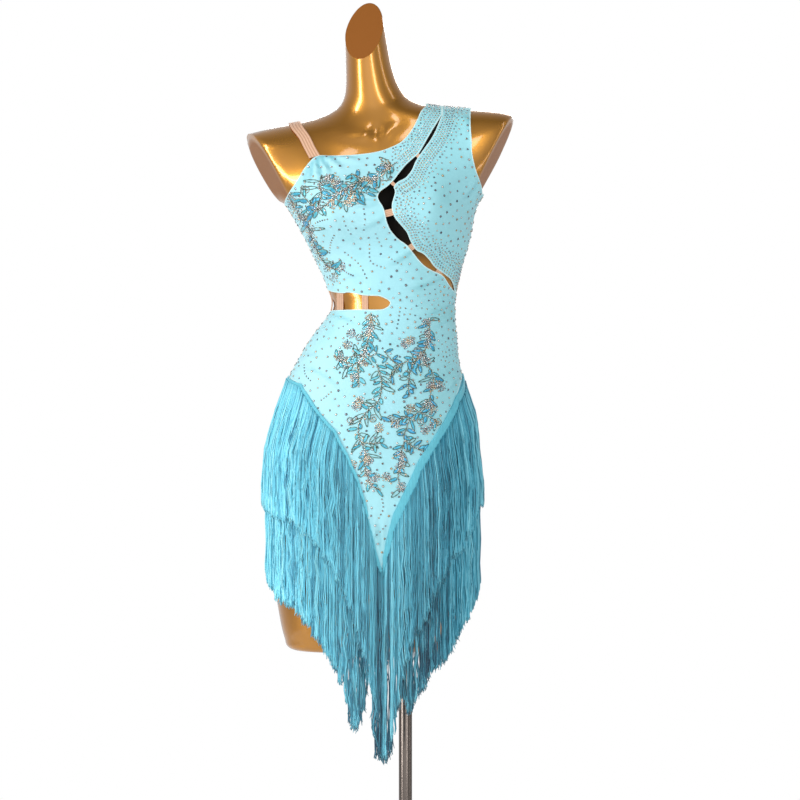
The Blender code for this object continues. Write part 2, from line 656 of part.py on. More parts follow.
def ribbon(name, rows, parts, material, lift=0.0):
    """A band through rows of two (place, normal) pairs, with a thickness."""
    bm = bmesh.new()
    lines = []
    for row in rows:
        lines.append([bm.verts.new(place + normal * lift)
                      for place, normal in row])
    for low, high in zip(lines, lines[1:]):
        bm.faces.new((low[0], low[1], high[1], high[0]))
    bm.normal_update()
    if bm.verts[:][0].normal.dot(rows[0][0][1]) < 0.0:
        bmesh.ops.reverse_faces(bm, faces=bm.faces[:])
    obj = link(name, bm, parts, material)
    wall = obj.modifiers.new("wall", "SOLIDIFY")
    wall.thickness = STRAP_THICKNESS
    wall.offset = 1.0
    wall.use_even_offset = True


def nearest_on(line, point):
    """The nearest point to this one on a line of (x, z) points."""
    found = []
    for a, b in zip(line, line[1:]):
        a, b = Vector(a), Vector(b)
        share = (point - a).dot(b - a) / (b - a).length_squared
        found.append(a.lerp(b, min(max(share, 0.0), 1.0)))
    return min(found, key=lambda near: (near - point).length)


def make_elastics(tree, parts, nude):
    """The shoulder strap, the slit's bridges and the cut-out's tabs."""
    rows = [(seen(tree, row.view, row.left, row.left_at),
             seen(tree, row.view, row.right, row.right_at)) for row in STRAP]
    ribbon("shoulder_strap", rows, parts, nude, STRAP_LIFT)
    for number, bridge in enumerate(SLIT_BRIDGES, 1):
        middle = Vector((bridge.x, bridge.z))
        across = (nearest_on(SLIT_OUTER_EDGE, middle)
                  - nearest_on(SLIT_INNER_EDGE, middle)).normalized()
        side = Vector((-across.y, across.x)) * bridge.width / 2.0
        rows = [[], []]
        for point in (middle + side, middle - side):
            for row, edge in zip(rows, (SLIT_INNER_EDGE, SLIT_OUTER_EDGE)):
                end = nearest_on(edge, point)
                end += (point - end).normalized() * BRIDGE_GAP
                row.append(seen(tree, "front", *end))
        ribbon("slit_bridge_%d" % number, rows, parts, nude)
    for number, tab in enumerate(WAIST_TABS, 1):
        rows = []
        for level in (tab.top, (tab.top + tab.bottom) / 2.0, tab.bottom):
            rows.append([seen(tree, tab.view, tab.middle + side, level)
                         for side in (-tab.width / 2.0, tab.width / 2.0)])
        ribbon("waist_tab_%d" % number, rows, parts, nude)


def make_spray(name, stem, clearance, tree, parts, material):
    """A stem with a leaf at every step, to the left and right in turn."""
    length = sum(math.dist(a, b) for a, b in zip(stem, stem[1:]))
    count = round(length / LEAF_PITCH)
    middle = [Vector(spline(stem, (len(stem) - 1) * i / count))
              for i in range(count + 1)]
    bm = bmesh.new()

    def on_cloth(point):
        place, normal = seen(tree, "front", *point)
        return bm.verts.new(place + normal * (WALL + clearance))

    edges = []
    for i, point in enumerate(middle):
        along = (middle[min(i + 1, count)] - middle[max(i - 1, 0)]).normalized()
        across = Vector((-along.y, along.x)) * STEM_HALF_WIDTH
        edges.append((on_cloth(point + across), on_cloth(point - across)))
    for i in range(count):
        (a, b), (c, d) = edges[i], edges[i + 1]
        bm.faces.new((a, b, d, c))
        along = (middle[i + 1] - middle[i]).normalized()
        sign = 1.0 if i % 2 else -1.0
        out = (along * LEAF_LEAN + Vector((-along.y, along.x)) * sign).normalized()
        wide = Vector((-out.y, out.x)) * LEAF_HALF_WIDTH * sign
        start = (middle[i] + middle[i + 1]) / 2.0
        belly = start + out * LEAF_LENGTH * 0.50
        leaf = [on_cloth(belly + wide), on_cloth(start + out * LEAF_LENGTH),
                on_cloth(belly - wide)]
        if sign > 0.0:
            bm.faces.new([c] + leaf[::-1] + [a])
        else:
            bm.faces.new([b] + leaf + [d])
    bmesh.ops.triangulate(bm, faces=bm.faces[:])
    bm.normal_update()
    if sum(face.normal.y for face in bm.faces) > 0.0:
        bmesh.ops.reverse_faces(bm, faces=bm.faces[:])
    spray = link(name, bm, parts, material)
    wall = spray.modifiers.new("thickness", "SOLIDIFY")
    wall.thickness = SPRAY_THICKNESS
    wall.offset = 1.0


def read_line(line, turn):
    """The level on a line of (turn, level) pairs, at this turn."""
    line = sorted(line)
    turn = min(max(turn, line[0][0]), line[-1][0])
    for (a, low), (b, high) in zip(line, line[1:]):
        if turn <= b:
            share = (turn - a) / max(b - a, 1e-9)
            return low + (high - low) * share
    return line[-1][1]


def even_turns(start, stop):
    """Turns at the two edges of each lock, evenly spaced round the hips."""
    place = place_at(HIP_LEVEL)
    samples = [start + (stop - start) * i / 400 for i in range(401)]
    points = [body_point(place, turn) for turn in samples]
    lengths = [0.0]
    for a, b in zip(points, points[1:]):
        lengths.append(lengths[-1] + (b - a).length)
    locks = round(lengths[-1] / LOCK_PITCH)
    pitch = lengths[-1] / locks
    turns = []
    for i in range(locks):
        for share in ((1.0 - LOCK_SHARE) / 2.0, (1.0 + LOCK_SHARE) / 2.0):
            target = (i + share) * pitch
            at = next(k for k, length in enumerate(lengths) if length >= target)
            turns.append(samples[at])
    return turns


def hanging(turn, level, root, out):
    """A point of the fringe at this level, below a root on the cloth."""
    held = max(level, min(HIP_LEVEL, root))
    place = place_at(held)
    point = body_point(place, turn) + outward(place, turn) * out
    point.z += level - held
    return point


def make_fringe(name, tape, ends, back, drop, hang, parts, teal):
    """A tape on the cloth with its locks hanging from it, as one body."""
    tape = [(turn_at(x, z, back), z - drop) for x, z in tape]
    ends = [(turn_at(x, HIP_LEVEL, back), z) for x, z in ends]
    turns = even_turns(min(ends)[0], max(ends)[0])
    bm = bmesh.new()
    columns = []
    roots = []
    step = 0.01
    for turn in turns:
        level = read_line(tape, turn)
        place = place_at(level)
        run = (body_point(place, turn + step)
               - body_point(place, turn - step)).xy.length
        rise = read_line(tape, turn + step) - read_line(tape, turn - step)
        slant = min(math.hypot(1.0, rise / run), MAX_SLANT)
        top = level + TAPE_RISE * slant
        bottom = top - TAPE_HEIGHT * slant
        roots.append(bottom)
        corners = []
        for height, out in ((top, 0.0), (bottom, 0.0),
                            (bottom, TAPE_THICKNESS), (top, TAPE_THICKNESS)):
            place = place_at(height)
            point = (body_point(place, turn)
                     + outward(place, turn) * (TAPE_OUT + out))
            corners.append(bm.verts.new(point))
        columns.append(corners)
    bm.faces.new(columns[0][::-1])
    bm.faces.new(columns[-1])
    for i, (here, there) in enumerate(zip(columns, columns[1:])):
        for k in (0, 2, 3):
            m = (k + 1) % 4
            bm.faces.new((here[k], here[m], there[m], there[k]))
        face = bm.faces.new((here[1], here[2], there[2], there[1]))
        if i % 2 == 0:
            grow_lock(bm, face, i, turns, roots, ends, hang)
    bmesh.ops.recalc_face_normals(bm, faces=bm.faces[:])
    link(name, bm, parts, teal)


def grow_lock(bm, face, first, turns, roots, ends, hang):
    """Extrude one lock down from its face of the tape."""
    end = read_line(ends, (turns[first] + turns[first + 1]) / 2.0)
    root = max(roots[first], roots[first + 1])
    lying = max(root - HIP_LEVEL, 0.0)
    steps = math.ceil(lying / LOCK_STEP)
    stops = [lying * (k + 1) / steps / (root - end) for k in range(steps)]
    if not stops and hang > TAPE_OUT:
        stops = [LOCK_STEP / (root - end)]
    for stop in stops + [1.0]:
        above = [vert.co.copy() for vert in face.verts]
        face = bmesh.ops.extrude_discrete_faces(bm, faces=[face])["faces"][0]
        for vert in face.verts:
            corner = min(range(4), key=lambda k: (vert.co - above[k]).length)
            column = first + corner // 2
            out = hang + (LOCK_THICKNESS if corner in (1, 2) else 0.0)
            level = roots[column] + (end - roots[column]) * stop
            vert.co = hanging(turns[column], level, roots[column], out)


def make_fringes(parts, teal):
    """Two tiers of fringe, each in four stretches round the hips."""
    stretches = (
        ("front_left", FRONT_V_LEFT, False,
         FRONT_UPPER_ENDS_LEFT, FRONT_LOWER_ENDS_LEFT),
        ("front_right", FRONT_V_RIGHT, False,
         FRONT_UPPER_ENDS_RIGHT, FRONT_LOWER_ENDS_RIGHT),
        ("back_left", BACK_V_LEFT, True,
         BACK_UPPER_ENDS_LEFT, BACK_LOWER_ENDS_LEFT),
        ("back_right", BACK_V_RIGHT, True,
         BACK_UPPER_ENDS_RIGHT, BACK_LOWER_ENDS_RIGHT))
    for side, tape, back, upper_ends, lower_ends in stretches:
        make_fringe("fringe_upper_" + side, tape, upper_ends, back, 0.0,
                    UPPER_HANG, parts, teal)
        make_fringe("fringe_lower_" + side, tape, lower_ends, back, TIER_DROP,
                    TAPE_OUT, parts, teal)


def main():
    clear_scene()
    parts = bpy.data.collections.new("latin_dance_dress")
    cutters = bpy.data.collections.new("cutters")
    for collection in (parts, cutters):
        bpy.context.scene.collection.children.link(collection)
    aqua = make_material("aqua_jersey", AQUA, 0.55, 0.0)
    teal = make_material("teal_fringe", TEAL, 0.60, 0.0)
    nude = make_material("nude_elastic", NUDE, 0.65, 0.0)
    foil = make_material("foil_applique", FOIL, 0.35, 0.4)
    gold = make_material("gold_form", GOLD, 0.25, 1.0)
    steel = make_material("steel", STEEL, 0.25, 1.0)
    make_stand(parts, steel)
    make_form(parts, cutters, gold)
    shell = make_shell()
    tree = BVHTree.FromBMesh(shell)
    shell_mesh = bpy.data.meshes.new("cloth_shell")
    shell.to_mesh(shell_mesh)
    shell.free()
    make_panels(shell_mesh, parts, cutters, aqua, teal)
    make_elastics(tree, parts, nude)
    for name, stem in SPRAYS.items():
        bust = name == "applique_bust"
        clearance = SPRAY_CLEARANCE_BUST if bust else SPRAY_CLEARANCE
        make_spray(name, stem, clearance, tree, parts, foil)
    make_fringes(parts, teal)


main()
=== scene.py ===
import math
import bmesh
import bpy
import numpy as np
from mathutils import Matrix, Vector
from mathutils.bvhtree import BVHTree
from mathutils.kdtree import KDTree


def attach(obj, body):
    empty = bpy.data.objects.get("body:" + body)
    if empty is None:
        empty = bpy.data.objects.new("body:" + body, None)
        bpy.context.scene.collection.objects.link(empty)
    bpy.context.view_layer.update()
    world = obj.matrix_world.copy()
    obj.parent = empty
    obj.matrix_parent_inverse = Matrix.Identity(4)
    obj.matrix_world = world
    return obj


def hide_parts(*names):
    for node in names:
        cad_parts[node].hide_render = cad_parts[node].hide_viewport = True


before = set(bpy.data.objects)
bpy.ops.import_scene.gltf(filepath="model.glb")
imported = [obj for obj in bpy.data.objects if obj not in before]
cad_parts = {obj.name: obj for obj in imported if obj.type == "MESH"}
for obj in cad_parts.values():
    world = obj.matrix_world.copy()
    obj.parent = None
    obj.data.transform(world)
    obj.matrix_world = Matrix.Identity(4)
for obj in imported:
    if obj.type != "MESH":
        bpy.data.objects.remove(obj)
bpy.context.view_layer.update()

print("frame:", len(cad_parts), "nodes")


def inMetres(rows):
    # outlines and places are written in millimetres
    return [tuple(value / 1000.0 for value in row) for row in rows]


# The body that everything lies on, repeated from the CAD, in millimetres.
# z, left, right, front, back, squareness of each flat section
trunk = [
    (545.5, -199, 69, -82, 90, 2.5), (578, -207, 87, -91, 100, 2.5), (661, -220, 110, -106, 118, 2.3),
    (710, -223, 116, -111, 126, 2.2), (760, -224, 117, -113, 132, 2.2),
    (810, -223, 115, -112, 134, 2.2), (859, -219, 109, -110, 131, 2.2),
    (909, -206, 105, -107, 121, 2.2), (975, -191, 93, -100, 101, 2.2), (1008, -174, 86, -95, 91, 2.2),
    (1041, -155, 83, -90, 83, 2.2), (1090, -120, 79, -84, 76, 2.2), (1115, -124, 81, -85, 77, 2.2),
    (1140, -131, 86, -88, 80, 2.2), (1172, -146, 94, -93, 86, 2.2), (1205, -162, 104, -98, 93, 2.3),
    (1238, -180, 110, -101, 100, 2.3), (1263, -196, 117, -101, 105, 2.4)]
# z and x at the left, z and x at the right, z and y in front, z and y behind, squareness
shoulders = [
    (1275, -222, 1294, 136, 1286, -98, 1286, 108, 2.5),
    (1298, -248, 1322, 158, 1311, -93, 1309, 108, 2.7),
    (1330, -270, 1352, 176, 1335, -86, 1330, 105, 2.9),
    (1357, -280, 1384, 186, 1355, -78, 1349, 100, 2.9),
    (1373, -272, 1404, 184, 1368, -72, 1365, 96, 2.7),
    (1384, -241, 1414, 163, 1380, -66, 1381, 90, 2.5),
    (1393, -200, 1418, 131, 1389, -62, 1394, 84, 2.4), (1400, -162, 1421, 92, 1397, -58, 1405, 78, 2.3),
    (1410, -131, 1424, 56, 1406, -55, 1414, 72, 2.2), (1422, -111, 1429, 26, 1415, -52, 1424, 65, 2.1),
    (1439, -101, 1440, 3, 1425, -50, 1440, 57, 2.0), (1460, -98, 1461, -12, 1444, -48, 1463, 51, 2.0),
    (1489, -98, 1490, -22, 1478, -46, 1497, 46, 2.0), (1526, -99, 1526, -29, 1520, -46, 1532, 43, 2.0),
    (1560, -99, 1560, -35, 1556, -45, 1567, 41, 2.0), (1620, -96, 1620, -50, 1620, -40, 1620, 36, 2.0)]
sections = np.array([(z, l, z, r, z, f, z, b, s) for z, l, r, f, b, s in trunk] + shoulders)
sections[:, :8] /= 1000.0
trunkTop = len(trunk) - 1
clothTop = len(trunk) + 10
bodyMiddle = 0.005
bust = {"level": 1.243, "centres": (-0.124, 0.045), "rise": 0.034, "halfWidth": 0.052,
        "above": 0.066, "below": 0.044, "fade": 2.2}
cleft = {"middle": -0.066, "top": 0.690, "fade": 0.10, "halfWidth": 0.030, "depth": 0.80}

# Pattern outlines as (x, z), seen from the front.
frontNeckline = inMetres([
    (34, 1421), (26, 1412), (20, 1398), (10, 1379), (-5, 1361), (-27, 1349), (-51, 1342), (-82, 1338),
    (-112, 1335), (-141, 1336)])
leftDiagonal = inMetres([
    (-150, 1329), (-154, 1324), (-164, 1311), (-174.5, 1296), (-185, 1282), (-194.5, 1268.5),
    (-198.5, 1260)])
rightArmhole = inMetres([
    (124, 1280), (122, 1290), (118, 1302), (113, 1314), (109, 1329), (106, 1345), (106, 1360),
    (104, 1392), (106, 1416)])
slitInner = inMetres([
    (58.5, 1407), (39.5, 1375.2), (22, 1344), (11.8, 1333.8), (-0.8, 1321.8), (-12.2, 1307.4),
    (-19.6, 1297.4), (-30.4, 1286.8), (-41.5, 1278.5), (-45.5, 1267), (-36.2, 1252), (-32, 1234),
    (-25.6, 1218.4), (-13.4, 1204), (1.8, 1193), (11, 1181.5), (20, 1170), (30, 1160), (42.5, 1152.5),
    (60, 1144), (69, 1131), (76, 1122.5), (79.5, 1119)])
slitOuter = inMetres([
    (60.5, 1407), (46.5, 1372.5), (27, 1343), (17.5, 1328.5), (10.5, 1312.5), (0.4, 1300),
    (-11.2, 1293.6), (-18, 1286), (-16, 1276.5), (-21.2, 1255), (-16.6, 1237.6), (-7.2, 1226.2),
    (3, 1214), (8.5, 1201), (17.8, 1186.6), (29, 1180.8), (39, 1170.8), (47.5, 1159.5), (64, 1148),
    (72.5, 1141), (78, 1131), (80, 1120.5)])
cutoutTop = inMetres([
    (-127, 1124), (-117, 1120), (-101, 1118), (-91, 1119), (-67, 1114), (-44, 1113), (-33, 1109),
    (-25, 1104)])
cutoutBottom = inMetres([
    (-25, 1097), (-33, 1091), (-44, 1089), (-72, 1089), (-96, 1088), (-127, 1087)])
frontVeeLeft = inMetres([
    (-190, 979), (-168, 967), (-156, 948), (-137, 920), (-113, 893), (-94, 856), (-79, 822), (-70, 794),
    (-62, 766), (-54, 729), (-47, 694), (-40, 672)])
frontVeeRight = inMetres([
    (-40, 672), (-35, 694), (-29, 723), (-20, 757), (-5, 788), (5, 809), (20, 843), (38, 871),
    (54, 896), (68, 920), (81, 948), (92, 983)])
backVeeLeft = inMetres([
    (-190, 979), (-166, 952), (-140, 915), (-112, 872), (-84, 832), (-62, 804), (-50, 794)])
backVeeRight = inMetres([
    (-50, 794), (-38, 804), (-16, 832), (12, 872), (40, 915), (66, 952), (92, 983)])
backCutoutTop = inMetres([(-127, 1124), (-117, 1121), (-100, 1119), (-75, 1114), (-60, 1104)])
backCutoutBottom = inMetres([(-60, 1098), (-75, 1090), (-100, 1088), (-127, 1087)])
backNeckline = inMetres([
    (34, 1424), (26, 1400), (6, 1372), (-28, 1350), (-70, 1334), (-110, 1318), (-146, 1300),
    (-174, 1281), (-190, 1268), (-197, 1258)])


def deselectAll():
    for obj in list(bpy.context.selected_objects):
        obj.select_set(False)


def activate(obj):
    deselectAll()
    obj.select_set(True)
    bpy.context.view_layer.objects.active = obj


def switchTo(mode):
    bpy.ops.object.mode_set(mode=mode)


def editAll(obj):
    activate(obj)
    switchTo("EDIT")
    bpy.ops.mesh.select_all(action="SELECT")


def selectNothing(obj):
    # object mode again, for what is then selected in code
    editAll(obj)
    bpy.ops.mesh.select_all(action="DESELECT")
    switchTo("OBJECT")


def faceOutwards(obj):
    editAll(obj)
    bpy.ops.mesh.normals_make_consistent(inside=False)
    switchTo("OBJECT")


def linked(name, data):
    obj = bpy.data.objects.new(name, data)
    bpy.context.scene.collection.objects.link(obj)
    return obj


def newMesh(name, points, faces):
    mesh = bpy.data.meshes.new(name)
    mesh.from_pydata([tuple(p) for p in points], [], [tuple(f) for f in faces])
    mesh.update()
    return linked(name, mesh)


def fastMesh(name, points, faces):
    # the same for many small pieces: every face has the same number of corners
    mesh = bpy.data.meshes.new(name)
    count, corners = faces.shape
    mesh.vertices.add(len(points))
    mesh.vertices.foreach_set("co", points.astype(np.float32).ravel())
    mesh.loops.add(count * corners)
    mesh.loops.foreach_set("vertex_index", faces.astype(np.int32).ravel())
    mesh.polygons.add(count)
    mesh.polygons.foreach_set("loop_start", np.arange(0, count * corners, corners, dtype=np.int32))
    mesh.update(calc_edges=True)
    mesh.validate()
    return linked(name, mesh)


def meshPoints(obj):
    points = np.zeros(len(obj.data.vertices) * 3)
    obj.data.vertices.foreach_get("co", points)
    return points.reshape(-1, 3)


def copies(points, faces, count):
    # the faces of a shape of this many points, repeated for each copy
    return (np.array(faces)[None] + (np.arange(count) * points)[:, None, None]).reshape(-1, 3)


def pointValues(obj, name, values):
    layer = obj.data.attributes.new(name, "FLOAT", "POINT")
    layer.data.foreach_set("value", np.asarray(values, np.float32))


def applyModifier(obj, kind, **settings):
    modifier = obj.modifiers.new(kind.lower(), kind)
    for key, value in settings.items():
        setattr(modifier, key, value)
    activate(obj)
    bpy.ops.object.modifier_apply(modifier=modifier.name)


def smoothShade(obj, degrees):
    activate(obj)
    bpy.ops.object.shade_smooth_by_angle(angle=math.radians(degrees))


def dress(obj, material, slot, *nodes):
    # material, a slot name that is not used, and the CAD nodes that the piece stands for
    obj.data.materials.append(material)
    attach(obj, "root")
    if nodes:
        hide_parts(*nodes)
    return obj


def readRows(rows, place):
    # a smooth curve through rows of numbers, read at fractional places
    rows = np.asarray(rows, float)
    last = len(rows) - 1
    place = np.clip(np.asarray(place, float), 0.0, last)
    start = np.minimum(place.astype(int), last - 1)
    f = (place - start)[..., None]
    a, b, c, d = (rows[np.clip(start + step, 0, last)] for step in (-1, 0, 1, 2))
    return 0.5 * (2 * b + (c - a) * f + (2 * a - 5 * b + 4 * c - d) * f ** 2
                  + (3 * b - a - 3 * c + d) * f ** 3)


def signedPower(value, power):
    return np.copysign(np.abs(value) ** power, value)


def ease(value):
    value = np.clip(value, 0.0, 1.0)
    return value * value * (3.0 - 2.0 * value)


def bustRise(x, z, forward):
    fade = np.where(z > bust["level"], bust["above"], bust["below"])
    rise = sum(np.exp(-((x - centre) / bust["halfWidth"]) ** 2 - ((z - bust["level"]) / fade) ** 2)
               for centre in bust["centres"])
    return bust["rise"] * np.minimum(rise, 1.0) * ease(bust["fade"] * forward)


def bodyPoints(place, turn, withCleft=False):
    # the turn runs from the right side by the back
    place, turn = np.broadcast_arrays(np.asarray(place, float), np.asarray(turn, float))
    row = np.moveaxis(readRows(sections, place), -1, 0)
    zLeft, left, zRight, right, zFront, front, zBack, back, square = row
    across = signedPower(np.cos(turn), 2.0 / square)
    deep = signedPower(np.sin(turn), 2.0 / square)
    x = (left + right) / 2.0 + (right - left) / 2.0 * across
    level = (zLeft + zRight) / 2.0
    endLevel = np.where(deep > 0.0, zBack, zFront)
    z = level + (zRight - zLeft) / 2.0 * across + (endLevel - level) * deep ** 2
    reach = np.where(deep > 0.0, back - bodyMiddle, bodyMiddle - front)
    y = bodyMiddle + reach * deep
    y = y - np.where(deep < 0.0, bustRise(x, z, -deep), 0.0)
    if withCleft:
        share = np.exp(-((x - cleft["middle"]) / cleft["halfWidth"]) ** 2)
        share = share * cleft["depth"] * ease((cleft["top"] - z) / cleft["fade"])
        y = bodyMiddle + (y - bodyMiddle) * (1.0 - share)
    return np.stack([x, y, z], -1)


samples = {"levels": 1701, "places": 2000, "turns": 2001, "ring": 480, "bunch": 0.2, "path": 12}
levelPlaces = np.linspace(0.0, trunkTop, samples["levels"])
levelTable = readRows(sections, levelPlaces)[:, 0]


def placeAt(level):
    return np.interp(level, levelTable, levelPlaces)


def turnAt(x, z, back):
    row = readRows(sections, placeAt(z))
    left, right, square = row[..., 1], row[..., 3], row[..., 8]
    across = np.clip((x - (left + right) / 2.0) / ((right - left) / 2.0), -1.0, 1.0)
    turn = np.arccos(signedPower(across, square / 2.0))
    return turn if back else 2.0 * math.pi - turn


def unit(vectors):
    return vectors / np.maximum(np.linalg.norm(vectors, axis=-1, keepdims=True), 1e-12)


def outward(place, turn, step=0.01):
    around = bodyPoints(place, turn + step) - bodyPoints(place, turn - step)
    up = bodyPoints(place + step, turn) - bodyPoints(place - step, turn)
    return unit(np.cross(around, up))


def hullStretch(ring):
    # tight cloth runs straight over the hollows of a section
    xy = ring[:, :2]
    order = sorted(range(len(ring)), key=lambda i: (xy[i, 0], xy[i, 1]))
    hull = set()
    for line in (order, order[::-1]):
        chain = []
        for i in line:
            while len(chain) > 1:
                a, b = xy[chain[-2]], xy[chain[-1]]
                if (b[0] - a[0]) * (xy[i, 1] - b[1]) - (b[1] - a[1]) * (xy[i, 0] - b[0]) > 1e-9:
                    break
                chain.pop()
            chain.append(i)
        hull.update(chain)
    hull = sorted(hull)
    result = ring.copy()
    count = len(ring)
    for start, end in zip(hull, hull[1:] + [hull[0] + count]):
        steps = np.arange(start + 1, end)
        share = ((steps - start) / (end - start))[:, None]
        result[steps % count] = ring[start] * (1.0 - share) + ring[end % count] * share
    return result


def runLength(points):
    # how far along a run each of its points lies
    return np.r_[0.0, np.cumsum(np.linalg.norm(np.diff(points, axis=0), axis=1))]


def alongRun(target, length, points):
    return np.stack([np.interp(target, length, column) for column in points.T], -1)


def evenRing(ring, count):
    closed = np.vstack([ring, ring[:1]])
    length = runLength(closed)
    return alongRun(np.linspace(0.0, length[-1], count, endpoint=False), length, closed)


ringTurns = np.linspace(0.0, 2.0 * math.pi, samples["ring"], endpoint=False)
ringTurns = ringTurns - samples["bunch"] * np.sin(4.0 * ringTurns)   # closer where sections are flat


def evenPlaces(low, high, step):
    # places whose mean levels are a step apart
    fine = np.linspace(low, high, samples["places"])
    levels = readRows(sections, fine)[:, [0, 2, 4, 6]].mean(axis=1)
    length = np.r_[0.0, np.cumsum(np.abs(np.diff(levels)) + 1e-6)]
    return np.interp(np.arange(0.0, length[-1] + step / 2.0, step), length, fine)


def wrappedGrid(name, rings):
    # a flat grid rolled round the body: a ring of points for each of its rows
    rows, count = rings.shape[:2]
    bpy.ops.mesh.primitive_grid_add(x_subdivisions=count, y_subdivisions=rows - 1, size=1.0)
    obj = bpy.context.object
    obj.name = name
    turned = np.concatenate([rings, rings[:, :1]], axis=1)
    obj.data.vertices.foreach_set("co", turned.astype(np.float32).ravel())
    editAll(obj)
    bpy.ops.mesh.remove_doubles(threshold=1e-6)
    switchTo("OBJECT")
    obj.data.update()
    return obj


def feed(tree, socket, value):
    # a link, a colour by its name, or a plain value
    if isinstance(value, Sock):
        tree.links.new(value.socket, socket)
    elif value is not None:
        socket.default_value = rgb(colours[value]) if isinstance(value, str) else value


class Sock:
    # a value in a material's node tree that takes Python's arithmetic
    def __init__(self, tree, socket):
        self.tree = tree
        self.socket = socket

    def maths(self, operation, other=None, swapped=False):
        node = self.tree.nodes.new("ShaderNodeMath")
        node.operation = operation
        values = [self, other] if not swapped else [other, self]
        for slot, value in zip(node.inputs, values):
            feed(self.tree, slot, value)
        return Sock(self.tree, node.outputs[0])

    def __add__(self, other):
        return self.maths("ADD", other)

    def __sub__(self, other):
        return self.maths("SUBTRACT", other)

    def __rsub__(self, other):
        return self.maths("SUBTRACT", other, True)

    def __mul__(self, other):
        return self.maths("MULTIPLY", other)

    __radd__ = __add__
    __rmul__ = __mul__

    def sine(self):
        return self.maths("SINE")

    def clamped(self):
        return self.maths("MINIMUM", 1.0).maths("MAXIMUM", 0.0)


class Finish:
    # a material: one Principled BSDF, its fixed values, and what varies over the surface
    def __init__(self, name, **fixed):
        self.material = bpy.data.materials.new(name)
        self.material.use_nodes = True
        self.tree = self.material.node_tree
        self.shader = self.tree.nodes["Principled BSDF"]
        for key, value in fixed.items():
            self.shader.inputs[key.replace("_", " ")].default_value = value
        self.place = self.node("ShaderNodeTexCoord", output="Object")

    def node(self, kind, settings=None, output=0, **values):
        node = self.tree.nodes.new(kind)
        for key, value in (settings or {}).items():
            setattr(node, key, value)
        for key, value in values.items():
            feed(self.tree, node.inputs[key.replace("_", " ")], value)
        return Sock(self.tree, node.outputs[output])

    def axes(self):
        node = self.tree.nodes.new("ShaderNodeSeparateXYZ")
        self.tree.links.new(self.place.socket, node.inputs[0])
        return [Sock(self.tree, output) for output in node.outputs]

    def attribute(self, name):
        return self.node("ShaderNodeAttribute", {"attribute_name": name}, output="Fac")

    def stretched(self, x, y, z):
        return self.node("ShaderNodeMapping", Vector=self.place, Scale=(x, y, z))

    def noise(self, scale, detail=2.0, vector=None):
        return self.node("ShaderNodeTexNoise", Vector=vector or self.place, Scale=scale,
                         Detail=detail)

    def mix(self, factor, first, second):
        node = self.tree.nodes.new("ShaderNodeMix")
        node.data_type = "RGBA"
        for key, kind, value in (("Factor", "VALUE", factor), ("A", "RGBA", first),
                                 ("B", "RGBA", second)):
            feed(self.tree, next(s for s in node.inputs if s.name == key and s.type == kind), value)
        return Sock(self.tree, next(s for s in node.outputs if s.type == "RGBA"))

    def bump(self, height, strength, distance):
        bump = self.node("ShaderNodeBump", Height=height, Strength=strength, Distance=distance)
        self.varies("Normal", bump)

    def varies(self, name, value):
        self.tree.links.new(value.socket, self.shader.inputs[name])


def rgb(text):
    # a colour as it looks on a screen, made linear
    parts = [int(text[i:i + 2], 16) / 255.0 for i in (0, 2, 4)]
    return tuple(c / 12.92 if c <= 0.04045 else ((c + 0.055) / 1.055) ** 2.4
                 for c in parts) + (1.0,)


colours = {
    # jersey colours; the fourth is painted shade for the hollows beside the folds
    "aqua": "A2E1ED", "aquaPale": "B2E8F0", "aquaDeep": "82CBCF", "aquaCreaseShade": "62B7C6",
    "binding": "F2FFF6", "tape": "66C8DA", "tapeDark": "4DAFC4",
    # fringe colours, with darker ones for the right side as painted shade
    "fringeLight": "A6F4FF", "fringe": "7CE6FC", "fringeDark": "0C4A64", "fringeDim": "2384A8",
    "fringeShadedSide": "38A7C2", "nude": "F0C6A4", "nudeDark": "BA8868",
    "gold": "D4922F", "goldDeep": "A96C22", "slitShade": "120E09", "cutFace": "A05F1B",
    "foilBlue": "1B93C6", "foilTeal": "3FB6C6", "foilPale": "86DCEF",
    "cord": "A3B09A", "cordDark": "2E4B48",
    "crystal": "F6F2EC", "crystalDark": "56505E", "crystalWarm": "D9B98C",
    "steel": "867C75", "steelDark": "5A514B", "floor": "F4F4F4", "white": "FFFFFF",
}
# how fine each pattern is: waves in radians to a metre, clouds and grain as noise scales
waves = {"wales": 5200.0, "courses": 4100.0, "weave": 6200.0, "stitch": 2600.0, "ply": 5200.0}
grains = {"clothCloud": 9.0, "clothPatch": 22.0, "clothWear": 60.0, "clothFuzz": 420.0,
          "binding": 900.0, "elastic": 700.0, "twist": 600.0, "tape": 120.0,
          "goldCloud": 7.0, "goldSmear": 12.0, "goldRipple": 26.0, "foilWear": 260.0,
          "foilGrain": 500.0, "warmStones": 75.0, "stoneHaze": 300.0, "steel": 90.0, "floor": 3.0}


